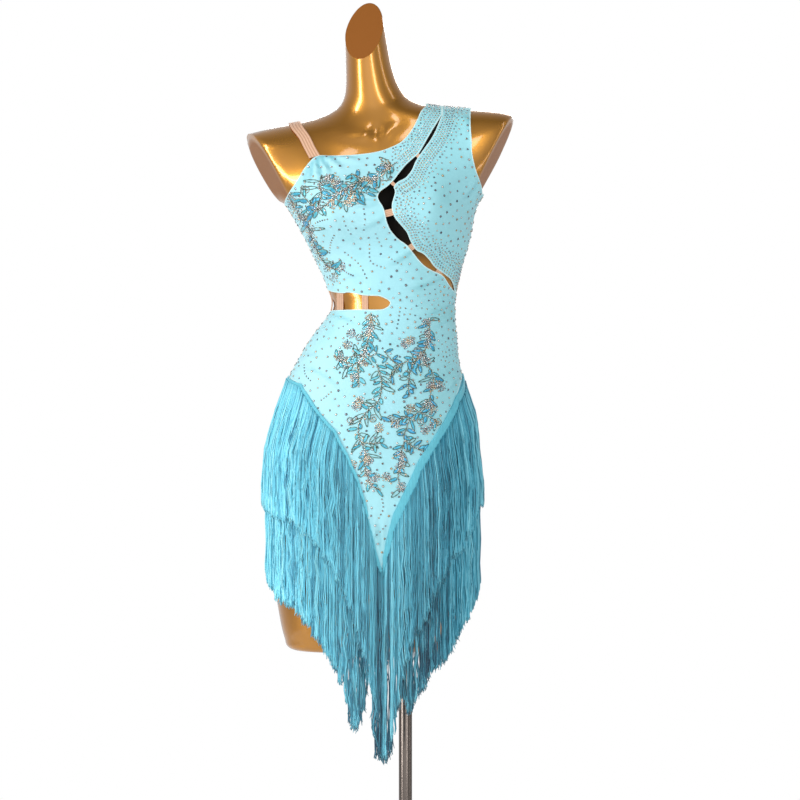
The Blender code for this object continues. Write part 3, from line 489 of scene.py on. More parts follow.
def clothFinish(name, main, pale, deep):
    # fine knit with fine wales and courses, cloudy in tone at random; painted light and shade make it
    # paler on the left, deeper on the right and darker in the hollows beside the folds
    finish = Finish(name, Roughness=0.62, Sheen_Weight=0.25, Sheen_Roughness=0.45)
    x, _, z = finish.axes()
    cloudy = finish.noise(grains["clothCloud"], 3.0)
    # painted light and shade: paler on the left and deeper on the right, as the light falls from the
    # left
    sideways = ((x + 0.05) * 5.0 + 0.5).clamped()
    colour = finish.mix((cloudy * 0.5 + sideways * 0.7 - 0.15).clamped(), pale, main)
    patch = (finish.noise(grains["clothPatch"]) - 0.52) * 3.0
    colour = finish.mix((patch.clamped() * 0.35 + sideways * sideways * 0.35).clamped(), colour, deep)
    # painted shade in the hollows beside the folds
    finish.varies("Base Color", finish.mix(finish.attribute("creaseShade") * 0.75, colour, "aquaCreaseShade"))
    knit = (x * waves["wales"]).sine() + (z * waves["courses"]).sine() * 0.6
    finish.varies("Roughness", finish.noise(grains["clothWear"]) * 0.18 + 0.52)
    finish.bump(knit * 0.25 + finish.noise(grains["clothFuzz"]) * 0.6, 0.22, 0.0006)
    return finish.material


def bindingFinish():
    finish = Finish("binding", Roughness=0.7, Sheen_Weight=0.3)
    grain = finish.noise(grains["binding"])
    finish.varies("Base Color", finish.mix(grain, "binding", "aqua"))
    finish.bump(grain, 0.4, 0.0005)
    return finish.material


def elasticFinish():
    finish = Finish("nudeElastic", Roughness=0.6, Sheen_Weight=0.2)
    rib = finish.attribute("rib")
    weave = (finish.axes()[2] * waves["weave"]).sine() * 0.5 + 0.5
    # painted shade: darker in the grooves between the ribs
    finish.varies("Base Color", finish.mix((rib * 0.7 + weave * 0.2).clamped(), "nudeDark", "nude"))
    finish.varies("Roughness", weave * 0.15 + 0.5)
    finish.bump(weave + finish.noise(grains["elastic"]) * 0.5, 0.3, 0.0004)
    return finish.material


def fringeFinish():
    # spun rayon: silky, each strand a little lighter or darker than the next, darker towards the bottom
    # and a little lighter at the tips; painted shade makes the right side darker, and the deep strands
    # and the edges of each lock darker
    finish = Finish("fringe", Roughness=0.42, Sheen_Weight=0.15, Specular_IOR_Level=0.55)
    # random tone of each strand, with painted shade on the deep strands and the lock edges
    toneAndShade = finish.attribute("toneAndShade")
    along = finish.attribute("along")
    x, _, z = finish.axes()
    # painted shade: the right side darker, with fewer light strands there, as the light falls from the
    # left
    shadedSide = ((x + 0.20) * 3.8).clamped()
    low = ((0.66 - z) * 2.2).clamped()
    middle = finish.mix(shadedSide, "fringe", "fringeShadedSide")
    dark = finish.mix((shadedSide * 1.5).clamped(), "fringeDim", "fringeDark")
    colour = finish.mix((toneAndShade * 2.4 - 0.08 - low * 0.80).clamped(), dark, middle)
    tips = ((along - 0.94) * 14.0).clamped() * 0.16
    lit = (((toneAndShade - 0.36 - low * 0.15) * 2.1).clamped() * (1.0 - shadedSide * 0.40) + tips).clamped()
    finish.varies("Base Color", finish.mix(lit, colour, "fringeLight"))
    twist = finish.noise(grains["twist"], vector=finish.stretched(1.0, 1.0, 0.25))
    finish.varies("Roughness", twist * 0.25 + 0.30)
    finish.bump(twist, 0.4, 0.0006)
    return finish.material


def tapeFinish():
    finish = Finish("fringeTape", Roughness=0.5, Sheen_Weight=0.2)
    stitch = (finish.axes()[0] * waves["stitch"]).sine() * 0.5 + 0.5
    stitched = (stitch * 0.5 + finish.noise(grains["tape"])).clamped()
    finish.varies("Base Color", finish.mix(stitched, "tapeDark", "tape"))
    finish.bump(stitch, 0.5, 0.0006)
    return finish.material


def goldFinish():
    finish = Finish("goldForm", Metallic=0.8, Roughness=0.3, Coat_Weight=1.0, Coat_Roughness=0.08,
                    Coat_IOR=1.6)
    cloudy = finish.noise(grains["goldCloud"], 3.0)
    colour = finish.mix((cloudy * 1.2 - 0.40).clamped(), "gold", "goldDeep")
    cut = finish.attribute("cutFace")
    colour = finish.mix(cut, colour, "cutFace")
    shade = finish.attribute("shade")
    finish.varies("Metallic", 0.8 - ((cut - 0.8) * 2.0).clamped())
    finish.varies("Coat Weight", (1.0 - cut * 1.2 - shade).clamped())
    finish.varies("Base Color", finish.mix(shade, colour, "slitShade"))
    rough = finish.noise(grains["goldSmear"]) * 0.07 + 0.25 + cut * 0.20 + shade * 0.3
    finish.varies("Roughness", rough.clamped())
    finish.bump(finish.noise(grains["goldRipple"]), 0.015, 0.0008)
    return finish.material


def foilFinish():
    finish = Finish("foilLeaf", Metallic=0.25, Roughness=0.32, Coat_Weight=0.4, Coat_Roughness=0.12)
    tint = finish.attribute("tint")
    colour = finish.mix((tint * 1.6).clamped(), "foilBlue", "foilTeal")
    worn = (finish.noise(grains["foilWear"], 3.0) - 0.35 + (tint * 2.0 - 0.9).clamped() * 0.6).clamped()
    finish.varies("Base Color", finish.mix(worn, colour, "foilPale"))
    finish.bump(finish.noise(grains["foilGrain"]), 0.4, 0.0005)
    return finish.material


def cordFinish():
    finish = Finish("silverCord", Metallic=0.9, Roughness=0.35)
    x, _, z = finish.axes()
    ply = (z * waves["ply"] + x * waves["ply"]).sine() * 0.5 + 0.5
    finish.varies("Base Color", finish.mix(ply, "cordDark", "cord"))
    finish.bump(ply, 0.6, 0.0006)
    return finish.material


def crystalFinish():
    finish = Finish("crystal", Metallic=0.85, Roughness=0.12, Coat_Weight=0.6, Coat_Roughness=0.03)
    tint = finish.attribute("tint")
    # a tint that differs at random from stone to stone, darkened round each stone's rim as a painted
    # reflection
    colour = finish.mix(tint, "crystalDark", "crystal")
    warm = (finish.noise(grains["warmStones"], 1.0) * 8.0 - 4.0).clamped() * (1.0 - tint * 0.5)
    finish.varies("Base Color", finish.mix(warm * 0.8, colour, "crystalWarm"))
    finish.varies("Roughness", finish.noise(grains["stoneHaze"]) * 0.1 + 0.06)
    return finish.material


def steelFinish(name, rings):
    finish = Finish(name, Metallic=1.0, Roughness=0.3)
    grain = finish.noise(grains["steel"], 3.0, finish.stretched(*rings))
    finish.varies("Base Color", finish.mix(grain * 0.7, "steel", "steelDark"))
    finish.varies("Roughness", grain * 0.16 + 0.12)
    finish.bump(grain, 0.12, 0.0004)
    return finish.material


materials = {
    "aqua": clothFinish("aquaJersey", "aqua", "aquaPale", "aquaDeep"),
    "teal": clothFinish("tealJersey", "fringe", "fringeLight", "fringeDark"),
    "binding": bindingFinish(), "nude": elasticFinish(), "fringe": fringeFinish(),
    "tape": tapeFinish(), "gold": goldFinish(), "foil": foilFinish(),
    "cord": cordFinish(), "crystal": crystalFinish(),
    "pole": steelFinish("brushedPole", (1.0, 1.0, 0.02)),
    "plate": steelFinish("brushedPlate", (0.2, 1.0, 1.0)),
}
print("materials:", len(materials))


stand = {"plateDiameter": 0.350, "plateThickness": 0.008, "plateBevel": 0.0015,
         "poleDiameter": 0.022, "poleBevel": 0.0005, "fitGap": 0.0003, "underside": 0.531,
         "socketDepth": 0.060, "sides": 96, "bevelSteps": 3, "smoothTo": 40.0}


def roundSteel(name, diameter, low, high, bevel, node, material):
    deselectAll()
    bpy.ops.mesh.primitive_cylinder_add(
        vertices=stand["sides"], radius=diameter / 2.0, depth=high - low,
        location=(0.0, 0.0, (low + high) / 2.0))
    obj = bpy.context.object
    obj.name = name
    bpy.ops.object.transform_apply(location=True, rotation=True, scale=True)
    selectNothing(obj)
    for edge in obj.data.edges:
        ends = [obj.data.vertices[i].co.z for i in edge.vertices]
        edge.select = abs(ends[0] - ends[1]) < 1e-6
    switchTo("EDIT")
    bpy.ops.mesh.select_mode(type="EDGE")
    bpy.ops.mesh.bevel(offset=bevel, segments=stand["bevelSteps"])
    switchTo("OBJECT")
    smoothShade(obj, stand["smoothTo"])
    return dress(obj, material, "steel", node)


def makeStand():
    thick, gap = stand["plateThickness"], stand["fitGap"]
    roundSteel("polePolished", stand["poleDiameter"], thick + gap,
               stand["underside"] + stand["socketDepth"] - gap, stand["poleBevel"], "stand_pole",
               materials["pole"])
    roundSteel("basePlate", stand["plateDiameter"], 0.0, thick, stand["plateBevel"], "stand_base",
               materials["plate"])


makeStand()
print("stand: pole and plate")


form = {
    "around": 200, "rowStep": 0.006, "joined": 0.00002, "smoothTo": 60.0,
    "underRound": 0.0145, "underTurns": (75.0, 60.0, 45.0, 30.0, 15.0, 0.0),
    "underShares": (0.15, 0.35, 0.6, 0.8, 1.0), "socketRings": (0.0005, 0.03), "poleEnd": 0.02,
    "lidShares": (0.98, 0.95, 0.91, 0.86, 0.80, 0.72, 0.5, 0.3, 0.02),
    "neckPoint": (-0.058, 0.036, 1.601), "neckNormal": (-0.37, -0.71, 0.60),
    "neckRim": 0.0009, "neckRise": 0.0003, "neckSnap": 0.0002,
    "stubs": [((-0.229, 0.0016, 1.3256), (-0.87, -0.20, -0.45)),
              ((0.150, 0.0006, 1.3550), (0.89, -0.13, -0.43))],
    "stubDome": (0.0032, 0.0160), "stubInk": (0.0030, 0.0120),
    "stubCut": 0.8, "stubRound": 0.0080, "stubFloor": 1.262, "stubFade": 0.014,
    "slitShadeReach": 0.004, "slitShadeFade": (1.132, 0.070),
}


# soft ridges and hollows of the bare chest: ends in x and z, half width and height
collarbones = inMetres([
    (-62, 1372, -130, 1386, 11, 3.4), (-34, 1374, 10, 1396, 10, 3), (-64, 1376, -52, 1350, 7, 2),
    (-36, 1376, -38, 1350, 7, 2), (-49, 1390, -49, 1362, 8, -2.8)])

foldShape = {"bow": 0.08, "start": (5.0, 0.6), "end": 1.6}


def softCap(signed, radius):
    # nothing stands past 0, with a rounded edge of this reach
    bend = -(signed - radius) ** 2 / (4.0 * radius)
    return np.where(signed > radius, 0.0, np.where(signed < -radius, signed, bend))


def foldHeight(points, folds, aside=0.0):
    # aside is in fold widths: 0 gives the ridge, and more or less the hollow beside it
    height = np.zeros(points.shape[:-1])
    grow, early = foldShape["start"]
    for ax, az, bx, bz, width, rise in folds:
        run, up = bx - ax, bz - az
        length = math.hypot(run, up)
        x, z = points[..., 0] - ax, points[..., 2] - az
        share = (x * run + z * up) / length ** 2
        bow = foldShape["bow"] * length * np.sin(math.pi * np.clip(share, 0.0, 1.0))
        away = (x * up - z * run) / length + bow + aside * width
        taper = ease(share * grow + early) * ease((1.0 - share) * foldShape["end"])
        height += rise * np.exp(-(away / width) ** 2) * taper
    return height


def awayFrom(points, line):
    # distance in x and z to a run
    x, z = points[..., 0], points[..., 2]
    best = np.full(x.shape, 1e9)
    for (ax, az), (bx, bz) in zip(line, line[1:]):
        run, rise = bx - ax, bz - az
        share = ((x - ax) * run + (z - az) * rise) / max(run * run + rise * rise, 1e-12)
        share = np.clip(share, 0.0, 1.0)
        best = np.minimum(best, np.hypot(x - ax - run * share, z - az - rise * share))
    return best


def insideOutline(points, outline):
    # distance in x and z to a closed outline, above 0 inside it
    closed = outline + outline[:1]
    x, z = points[..., 0], points[..., 2]
    odd = np.zeros(x.shape, bool)
    for (ax, az), (bx, bz) in zip(closed, closed[1:]):
        if abs(bz - az) > 1e-12:
            odd ^= ((az > z) != (bz > z)) & (x < ax + (z - az) / (bz - az) * (bx - ax))
    away = awayFrom(points, closed)
    return np.where(odd, away, -away)


def liftCut(obj, points, signed, held, capped, direction):
    # a stub's flat cut raised to a soft dome: the new points, and their distance from its edge
    ends = np.zeros(len(obj.data.edges) * 2, int)
    obj.data.edges.foreach_get("vertices", ends)
    a, b = ends.reshape(-1, 2).T
    crossing = ((signed[a] > 0.0) != (signed[b] > 0.0)) & (held[a] > 0.5)
    a, b = a[crossing], b[crossing]
    share = signed[a] / (signed[a] - signed[b])
    edge = points[a] + (points[b] - points[a]) * share[:, None]
    away = np.zeros(len(points))
    face = (signed > 0.0) & (held > 0.0)
    away[face] = np.linalg.norm(capped[face][:, None] - edge[None], axis=2).min(axis=1)
    rise, width = form["stubDome"]
    bend = 1.0 - np.clip(away / width, 0.0, 1.0)
    lift = rise * np.sqrt(1.0 - bend ** 2) * face * held
    return capped + lift[:, None] * direction, away


def sliceNeck(obj):
    # the slanted cut over the neck, with a narrow crisp rim round its flat face
    editAll(obj)
    bpy.ops.mesh.bisect(plane_co=form["neckPoint"], plane_no=form["neckNormal"], use_fill=True,
                        clear_outer=True)
    bpy.ops.mesh.remove_doubles(threshold=form["neckSnap"])
    bpy.ops.mesh.mark_sharp()
    bpy.ops.mesh.inset(thickness=form["neckRim"], depth=form["neckRise"])
    switchTo("OBJECT")
    cutFace = obj.data.attributes["cutFace"].data
    for vertex in obj.data.vertices:
        if vertex.select:
            cutFace[vertex.index].value = 1.0


def formRings():
    # rings from the pole's socket out over the rounded underside and up to a lid on the neck
    places = evenPlaces(0.0, len(sections) - 1.0, form["rowStep"])
    rings = [evenRing(bodyPoints(place, ringTurns, True), form["around"]) for place in places]
    first, last = rings[0], rings[-1]
    along = np.roll(first, -1, axis=0) - np.roll(first, 1, axis=0)
    sideways = unit(np.stack([-along[:, 1], along[:, 0], 0.0 * along[:, 0]], -1))
    under = []
    for angle in np.radians(form["underTurns"]):
        ring = first + sideways * form["underRound"] * (1.0 - math.cos(math.pi / 2.0 - angle))
        ring[:, 2] = first[:, 2] - form["underRound"] * math.sin(math.pi / 2.0 - angle)
        under.append(ring)
    turns = np.linspace(0.0, 2.0 * math.pi, form["around"], endpoint=False)
    bore = stand["poleDiameter"] / 2.0 + stand["fitGap"]
    mouth = np.stack([bore * np.cos(turns), bore * np.sin(turns),
                      np.full(len(turns), stand["underside"])], -1)
    under += [ring * (1.0 - share) + mouth * share for share in form["underShares"]]
    under += [mouth + (0.0, 0.0, height) for height in form["socketRings"] + (stand["socketDepth"],)]
    under.append(under[-1] * (form["poleEnd"], form["poleEnd"], 1.0))
    middle = last.mean(axis=0)
    lid = [middle + (last - middle) * share for share in form["lidShares"]]
    return np.array(under[::-1] + rings + lid)


def makeForm():
    obj = wrappedGrid("goldForm", formRings())
    editAll(obj)
    bpy.ops.mesh.remove_doubles(threshold=form["joined"])
    bpy.ops.mesh.fill_holes(sides=0)
    faceOutwards(obj)
    points = meshPoints(obj)
    cut = np.zeros(len(points))
    for corner, direction in form["stubs"]:
        direction = np.array(direction) / np.linalg.norm(direction)
        signed = (points - corner) @ direction
        held = ease((points[:, 2] - form["stubFloor"]) / form["stubFade"])
        held = held * (points[:, 0] * direction[0] > 0.0)
        move = (softCap(signed, form["stubRound"]) - signed) * held
        capped = points + move[:, None] * direction
        points, away = liftCut(obj, points, signed, held, capped, direction)
        inked = ease((away - form["stubInk"][0]) / form["stubInk"][1]) * form["stubCut"]
        cut = np.maximum(cut, inked * held)
    points[:, 1] -= foldHeight(points, collarbones) * (points[:, 1] < 0.0)
    obj.data.vertices.foreach_set("co", points.ravel())
    obj.data.update()
    pointValues(obj, "cutFace", cut)
    sliceNeck(obj)
    points = meshPoints(obj)
    deep = insideOutline(points, slitInner + slitOuter[::-1]) + form["slitShadeReach"]
    shade = ease(deep / form["slitShadeReach"] + 0.5) * (points[:, 1] < 0.0)
    shade = shade * ease((points[:, 2] - form["slitShadeFade"][0]) / form["slitShadeFade"][1])
    pointValues(obj, "shade", shade)
    smoothShade(obj, form["smoothTo"])
    return dress(obj, materials["gold"], "gold_form", "dress_form")


goldForm = makeForm()
print("form:", len(goldForm.data.polygons), "faces")


cloth = {
    "wall": 0.0015, "clearance": 0.0008, "seamGap": 0.0004, "seamDepth": 0.006, "seamReach": 0.0012,
    "skirtSeam": 0.0013, "tierDrop": 0.122, "sideSeam": 1.117,
    "around": 230, "rowStep": 0.0036, "snap": 0.30, "halvings": 14, "outlineSteps": 4,
    # fold height, then where and how strongly shade is painted in the hollows beside the folds
    "foldGain": 2.6, "creaseShadeAside": 1.1, "creaseShadeDepth": 0.0014, "creaseShadeFrom": 0.30,
    "bindingRadius": 0.0011, "bindingLift": 0.55, "shortestRim": 6, "smoothTo": 50.0,
    "farLeft": -0.300, "farRight": 0.260, "above": 1.470, "armpit": 1.250,
}
# Soft ridges pressed out of the cloth: ends in x and z, half width and height.
# They run from the strap and the bridges, where the cloth is pulled, and across the waist.
frontFolds = inMetres([
    (-148, 1332, -144, 1280, 4.2, 1.8), (-154, 1328, -163, 1284, 4, 1.6),
    (-142, 1333, -122, 1296, 3.8, 1.7), (-160, 1322, -178, 1276, 3.6, 1.4),
    (-136, 1334, -96, 1306, 3.8, 1.6), (-126, 1332, -58, 1320, 3.4, 1.4),
    (-47, 1268, -110, 1284, 4, 1.2), (-46, 1262, -100, 1262, 4, 0.9), (-44, 1273, -90, 1304, 3.6, 1),
    (-36, 1240, -96, 1222, 4.2, 0.8), (-22, 1304, -62, 1318, 3.4, 0.8), (10, 1190, -50, 1162, 4.8, 0.9),
    (55, 1146, -20, 1128, 4.8, 0.9), (76, 1108, 10, 1084, 5, 1), (79, 1086, 20, 1064, 4.8, 0.8),
    (-118, 1138, -60, 1150, 4.8, 0.8), (-122, 1076, -70, 1050, 5, 1), (-118, 1084, -50, 1074, 4.2, 0.8),
    (100, 1400, 101, 1330, 3.6, 1.2), (93, 1404, 92, 1350, 3.4, 0.9), (112, 1300, 70, 1262, 4.4, 1),
    (118, 1290, 86, 1236, 4.2, 0.8), (-158, 990, -92, 938, 5.2, 0.9), (-172, 1008, -118, 1004, 5, 0.7),
    (84, 990, 40, 944, 5, 0.9), (-40, 690, -44, 790, 4, 1.2), (-36, 700, -24, 782, 3.6, 1),
    (-46, 720, -60, 800, 3.6, 0.9)])
backFolds = inMetres([
    (-168, 1290, -110, 1262, 4.8, 1.2), (-160, 1296, -120, 1236, 4.4, 1),
    (-176, 1276, -140, 1222, 4.2, 0.9), (30, 1404, 12, 1330, 4.4, 1.1), (98, 1400, 94, 1320, 4.4, 1.2),
    (110, 1310, 50, 1262, 5, 1.1), (78, 1110, 0, 1092, 6, 1.2), (80, 1088, 10, 1066, 5.2, 1),
    (-60, 1100, -10, 1110, 6, 1.2), (-120, 1132, -60, 1140, 4.6, 0.9), (-120, 1078, -60, 1062, 4.6, 1),
    (-100, 1050, 30, 1040, 6, 0.8), (-140, 996, -70, 972, 6, 0.8), (70, 996, 10, 960, 6, 0.8),
    (-50, 830, -52, 930, 4.8, 1), (-44, 820, -30, 900, 4.2, 0.8)])


def gridNormals(grid):
    around = np.roll(grid, -1, axis=1) - np.roll(grid, 1, axis=1)
    up = np.empty_like(grid)
    up[1:-1] = grid[2:] - grid[:-2]
    up[0], up[-1] = grid[1] - grid[0], grid[-1] - grid[-2]
    return unit(np.cross(around, up))


shellPlaces = evenPlaces(0.0, float(clothTop), cloth["rowStep"])
shellGrid = np.array([evenRing(hullStretch(bodyPoints(place, ringTurns)), cloth["around"])
                      for place in shellPlaces])
shellNormals = gridNormals(shellGrid)
shellGrid = shellGrid + shellNormals * cloth["clearance"]
print("shell:", shellGrid.shape)


def gridFaces(rows, count):
    i, j = np.meshgrid(np.arange(rows - 1), np.arange(count), indexing="ij")
    k = (j + 1) % count
    return np.stack([i * count + j, i * count + k, (i + 1) * count + k, (i + 1) * count + j],
                    -1).reshape(-1, 4)


shellFaces = gridFaces(*shellGrid.shape[:2])
shellTree = BVHTree.FromPolygons(shellGrid.reshape(-1, 3).tolist(), shellFaces.tolist())


def cutPanel(name, outline, back):
    # the shell inside its outline, with its edge exactly on the outline
    half = cloth["seamGap"] / 2.0
    sign = 1.0 if back else -1.0

    def inside(points):
        seam = sign * (points[..., 1] - cloth["seamDepth"]) - half
        return np.minimum(insideOutline(points, outline), seam)

    points = shellGrid.reshape(-1, 3)
    signed = inside(points)
    touched = shellFaces[(signed[shellFaces] > 0.0).any(axis=1)]
    used = np.unique(touched)
    renumber = np.full(len(points), -1)
    renumber[used] = np.arange(len(used))
    obj = newMesh(name, points[used], renumber[touched])
    bm = bmesh.new()
    bm.from_mesh(obj.data)
    bm.verts.ensure_lookup_table()
    value = signed[used]
    within = value > 0.0
    crossing = [e for e in bm.edges if within[e.verts[0].index] != within[e.verts[1].index]]
    ends = np.array([[e.verts[0].co[:], e.verts[1].co[:]] for e in crossing])
    first = np.array([within[e.verts[0].index] for e in crossing])
    low, high = np.zeros(len(crossing)), np.ones(len(crossing))
    for _ in range(cloth["halvings"]):
        middle = (low + high) / 2.0
        at = ends[:, 0] + (ends[:, 1] - ends[:, 0]) * middle[:, None]
        same = (inside(at) > 0.0) == first
        low, high = np.where(same, middle, low), np.where(same, high, middle)
    cuts = (low + high) / 2.0
    places = ends[:, 0] + (ends[:, 1] - ends[:, 0]) * cuts[:, None]
    nearest = {}
    for edge, share, place in zip(crossing, cuts, places):
        vert, gap = (edge.verts[0], share) if share < 0.5 else (edge.verts[1], 1.0 - share)
        if gap < cloth["snap"] and gap < nearest.get(vert, (1.0, None))[0]:
            nearest[vert] = (gap, place)
    for vert, (gap, place) in nearest.items():
        vert.co = place
    onEdge = list(nearest)
    for edge, share in zip(crossing, cuts):
        if edge.verts[0] in nearest or edge.verts[1] in nearest:
            continue
        onEdge.append(bmesh.utils.edge_split(edge, edge.verts[0], float(share))[1])
    bmesh.ops.connect_verts(bm, verts=onEdge)
    centres = np.array([f.calc_center_median()[:] for f in bm.faces])
    out = inside(centres) < 0.0
    bmesh.ops.delete(bm, geom=[f for f, gone in zip(bm.faces, out) if gone], context="FACES")
    bmesh.ops.triangulate(bm, faces=[f for f in bm.faces if len(f.verts) > 4])
    bm.normal_update()
    spots = np.array([v.co[:] for v in bm.verts])
    folds = backFolds if back else frontFolds
    for vert, rise in zip(bm.verts, foldHeight(spots, folds) * cloth["foldGain"]):
        vert.co += vert.normal * float(rise)
    bm.normal_update()
    bm.to_mesh(obj.data)
    # painted shade: a value for the hollow beside each fold, where the cloth is coloured darker
    creaseShade = foldHeight(spots, folds, cloth["creaseShadeAside"]) / cloth["creaseShadeDepth"]
    pointValues(obj, "creaseShade", np.clip(creaseShade - cloth["creaseShadeFrom"], 0.0, 1.0))
    rims = openEdges(bm)
    bm.free()
    return obj, rims


def openEdges(bm):
    # the panel's edges as runs of (place, normal), without the seams that meet another panel
    def onSeam(edge):
        return all(abs(v.co.y - cloth["seamDepth"]) < cloth["seamReach"] for v in edge.verts)

    left = dict.fromkeys(e for e in bm.edges if e.is_boundary and not onSeam(e))
    runs = []
    while left:
        edge = left.popitem()[0]
        chain = list(edge.verts)
        for grow in (True, False):
            while True:
                tip = chain[-1] if grow else chain[0]
                step = next((e for e in tip.link_edges if e in left), None)
                if step is None:
                    break
                left.pop(step)
                other = step.other_vert(tip)
                chain = chain + [other] if grow else [other] + chain
        if len(chain) > cloth["shortestRim"]:
            runs.append([(np.array(v.co[:]), np.array(v.normal[:])) for v in chain])
    return runs


def rounded(points):
    # a smooth outline through its points
    places = np.linspace(0.0, len(points) - 1.0, (len(points) - 1) * cloth["outlineSteps"] + 1)
    return [tuple(p) for p in readRows(points, places)]


def endCaps(start, end, sides):
    # the two faces that close a run of rings
    return [tuple(range(start + sides - 1, start - 1, -1)), tuple(range(end - sides, end))]


def bandObject(name, rings):
    # a closed band along its rings of points
    rows, count = rings.shape[:2]
    faces = gridFaces(rows, count).tolist() + endCaps(0, rows * count, count)
    obj = newMesh(name, rings.reshape(-1, 3), faces)
    faceOutwards(obj)
    smoothShade(obj, cloth["smoothTo"])
    return obj


def tube(points, sides, radius, across, outwards, closed):
    # rings of points round a path; across and outwards are directions at each of its points
    angles = np.linspace(0.0, 2.0 * math.pi, sides, endpoint=False)
    rings = (points[:, None] + radius[:, None, None]
             * (across[:, None] * np.cos(angles)[None, :, None]
                + outwards[:, None] * np.sin(angles)[None, :, None]))
    count = len(points)
    faces = []
    for i in range(count if closed else count - 1):
        j = (i + 1) % count
        for k in range(sides):
            m = (k + 1) % sides
            faces.append((i * sides + k, i * sides + m, j * sides + m, j * sides + k))
    return rings.reshape(-1, 3), faces


def tubeObject(name, runs, radius, lift, sides=6, bead=0.0):
    # closed round cords along runs of (place, normal), with a bead at every other point
    allPoints, allFaces = [], []
    start = 0
    for run in runs:
        places = np.array([p for p, n in run])
        normals = unit(np.array([n for p, n in run]))
        closed = np.linalg.norm(places[0] - places[-1]) < 1e-7
        if closed:
            places, normals = places[:-1], normals[:-1]
            along = unit(np.roll(places, -1, axis=0) - np.roll(places, 1, axis=0))
        else:
            along = unit(np.gradient(places, axis=0))
        outwards = unit(normals - along * (normals * along).sum(-1, keepdims=True))
        across = np.cross(outwards, along)
        reach = radius * (1.0 + bead * np.where(np.arange(len(places)) % 2, 1.0, -1.0))
        points, faces = tube(places + normals * lift, sides, reach, across, outwards, closed)
        allPoints.append(points)
        allFaces += [tuple(i + start for i in f) for f in faces]
        if not closed:
            allFaces += endCaps(start, start + len(points), sides)
        start += len(points)
    obj = newMesh(name, np.vstack(allPoints), allFaces)
    smoothShade(obj, form["smoothTo"])
    return obj


def takeSkin(obj):
    # the points, triangles and normals of a panel before it gets its thickness
    mesh = obj.data
    mesh.calc_loop_triangles()
    return (meshPoints(obj), np.array([t.vertices[:] for t in mesh.loop_triangles]),
            np.array([v.normal[:] for v in mesh.vertices]))


skins = {}


def panelJobs():
    # name, outline, behind or not, and node of each panel
    left, right, above = cloth["farLeft"], cloth["farRight"], cloth["above"]
    half, seam = cloth["seamGap"] / 2.0, cloth["sideSeam"]
    armhole = [(right, rightArmhole[0][1])] + rounded(rightArmhole) + [(rightArmhole[-1][0], above)]

    def waist(cutout, vee):
        # down the left side past the cut-out, and over the hips
        top, bottom = cutout
        return ([(left, cloth["armpit"]), (left, top[0][1])] + rounded(top + bottom)
                + [(left, bottom[-1][1])] + hips(*vee))

    def hips(veeLeft, veeRight):
        return ([(left, veeLeft[0][1])] + rounded(veeLeft) + rounded(veeRight)[1:]
                + [(right, veeRight[-1][1])])

    frontVee, backVee = (frontVeeLeft, frontVeeRight), (backVeeLeft, backVeeRight)
    front = ([(slitInner[0][0], above), (frontNeckline[0][0], above)] + rounded(frontNeckline)
             + rounded(leftDiagonal) + waist((cutoutTop, cutoutBottom), frontVee)
             + [(right, seam - half)] + rounded(slitInner)[::-1])
    shoulder = [(slitOuter[0][0], above)] + rounded(slitOuter) + [(right, seam + half)] + armhole
    back = ([(backNeckline[0][0], above)] + rounded(backNeckline)
            + waist((backCutoutTop, backCutoutBottom), backVee) + armhole)
    jobs = [("bodiceFront", front, False, "bodice_front"),
            ("shoulderPanel", shoulder, False, "shoulder_panel"),
            ("bodiceBack", back, True, "bodice_back")]
    for name, vee, isBack, node in (("skirtFront", frontVee, False, "skirt_front"),
                                    ("skirtBack", backVee, True, "skirt_back")):
        skirt = ([(x, z - cloth["skirtSeam"]) for x, z in hips(*vee)]
                 + [(x, z - cloth["tierDrop"]) for x, z in hips(*vee)][::-1])
        jobs.append((name, skirt, isBack, node))
    return jobs


def makePanels():
    made = {}
    for name, outline, isBack, node in panelJobs():
        panel, rims = cutPanel(name, outline, isBack)
        skins[name] = takeSkin(panel) + (rims,)
        applyModifier(panel, "SOLIDIFY", thickness=cloth["wall"], offset=1.0, use_even_offset=True)
        smoothShade(panel, cloth["smoothTo"])
        if name.startswith("skirt"):
            dress(panel, materials["teal"], "teal_jersey", node)
        else:
            dress(panel, materials["aqua"], "aqua_jersey", node)
            trim = tubeObject(name + "Binding", rims, cloth["bindingRadius"],
                              cloth["wall"] * cloth["bindingLift"])
            dress(trim, materials["binding"], "aqua_jersey")
        made[name] = panel
        print("cloth:", name, len(panel.data.polygons), "faces")
    return made


panels = makePanels()


def treeOf(*objects):
    points, faces = [], []
    for obj in objects:
        start = len(points)
        points += [v.co[:] for v in obj.data.vertices]
        faces += [tuple(i + start for i in p.vertices) for p in obj.data.polygons]
    return BVHTree.FromPolygons(points, faces)


frontTree = treeOf(panels["bodiceFront"], panels["shoulderPanel"])

views = {
    "front": (Vector((0.0, 1.0, 0.0)), lambda a, b: Vector((a, -1.0, b))),
    "back": (Vector((0.0, -1.0, 0.0)), lambda a, b: Vector((a, 1.0, b))),
    "left": (Vector((1.0, 0.0, 0.0)), lambda a, b: Vector((-1.0, a, b))),
    "top": (Vector((0.0, 0.0, -1.0)), lambda a, b: Vector((a, b, 2.0))),
}


def seen(tree, side, a, b):
    # the nearest surface at these two coordinates of a view: (place, normal) or None
    direction, start = views[side]
    place, normal, _, _ = tree.ray_cast(start(a, b), direction)
    if place is None:
        return None
    if normal.dot(direction) > 0.0:
        normal.negate()
    return np.array(place[:]), np.array(normal[:])


elastic = {"thickness": 0.0012, "lift": 0.0012, "sunk": -0.0002, "ribs": 4, "ribSteps": 4,
           "rowSteps": 5, "ribHeight": 0.0006, "bridgeReach": 0.0015, "tabReach": 0.002,
           "strapCut": (0.021, 0.230)}
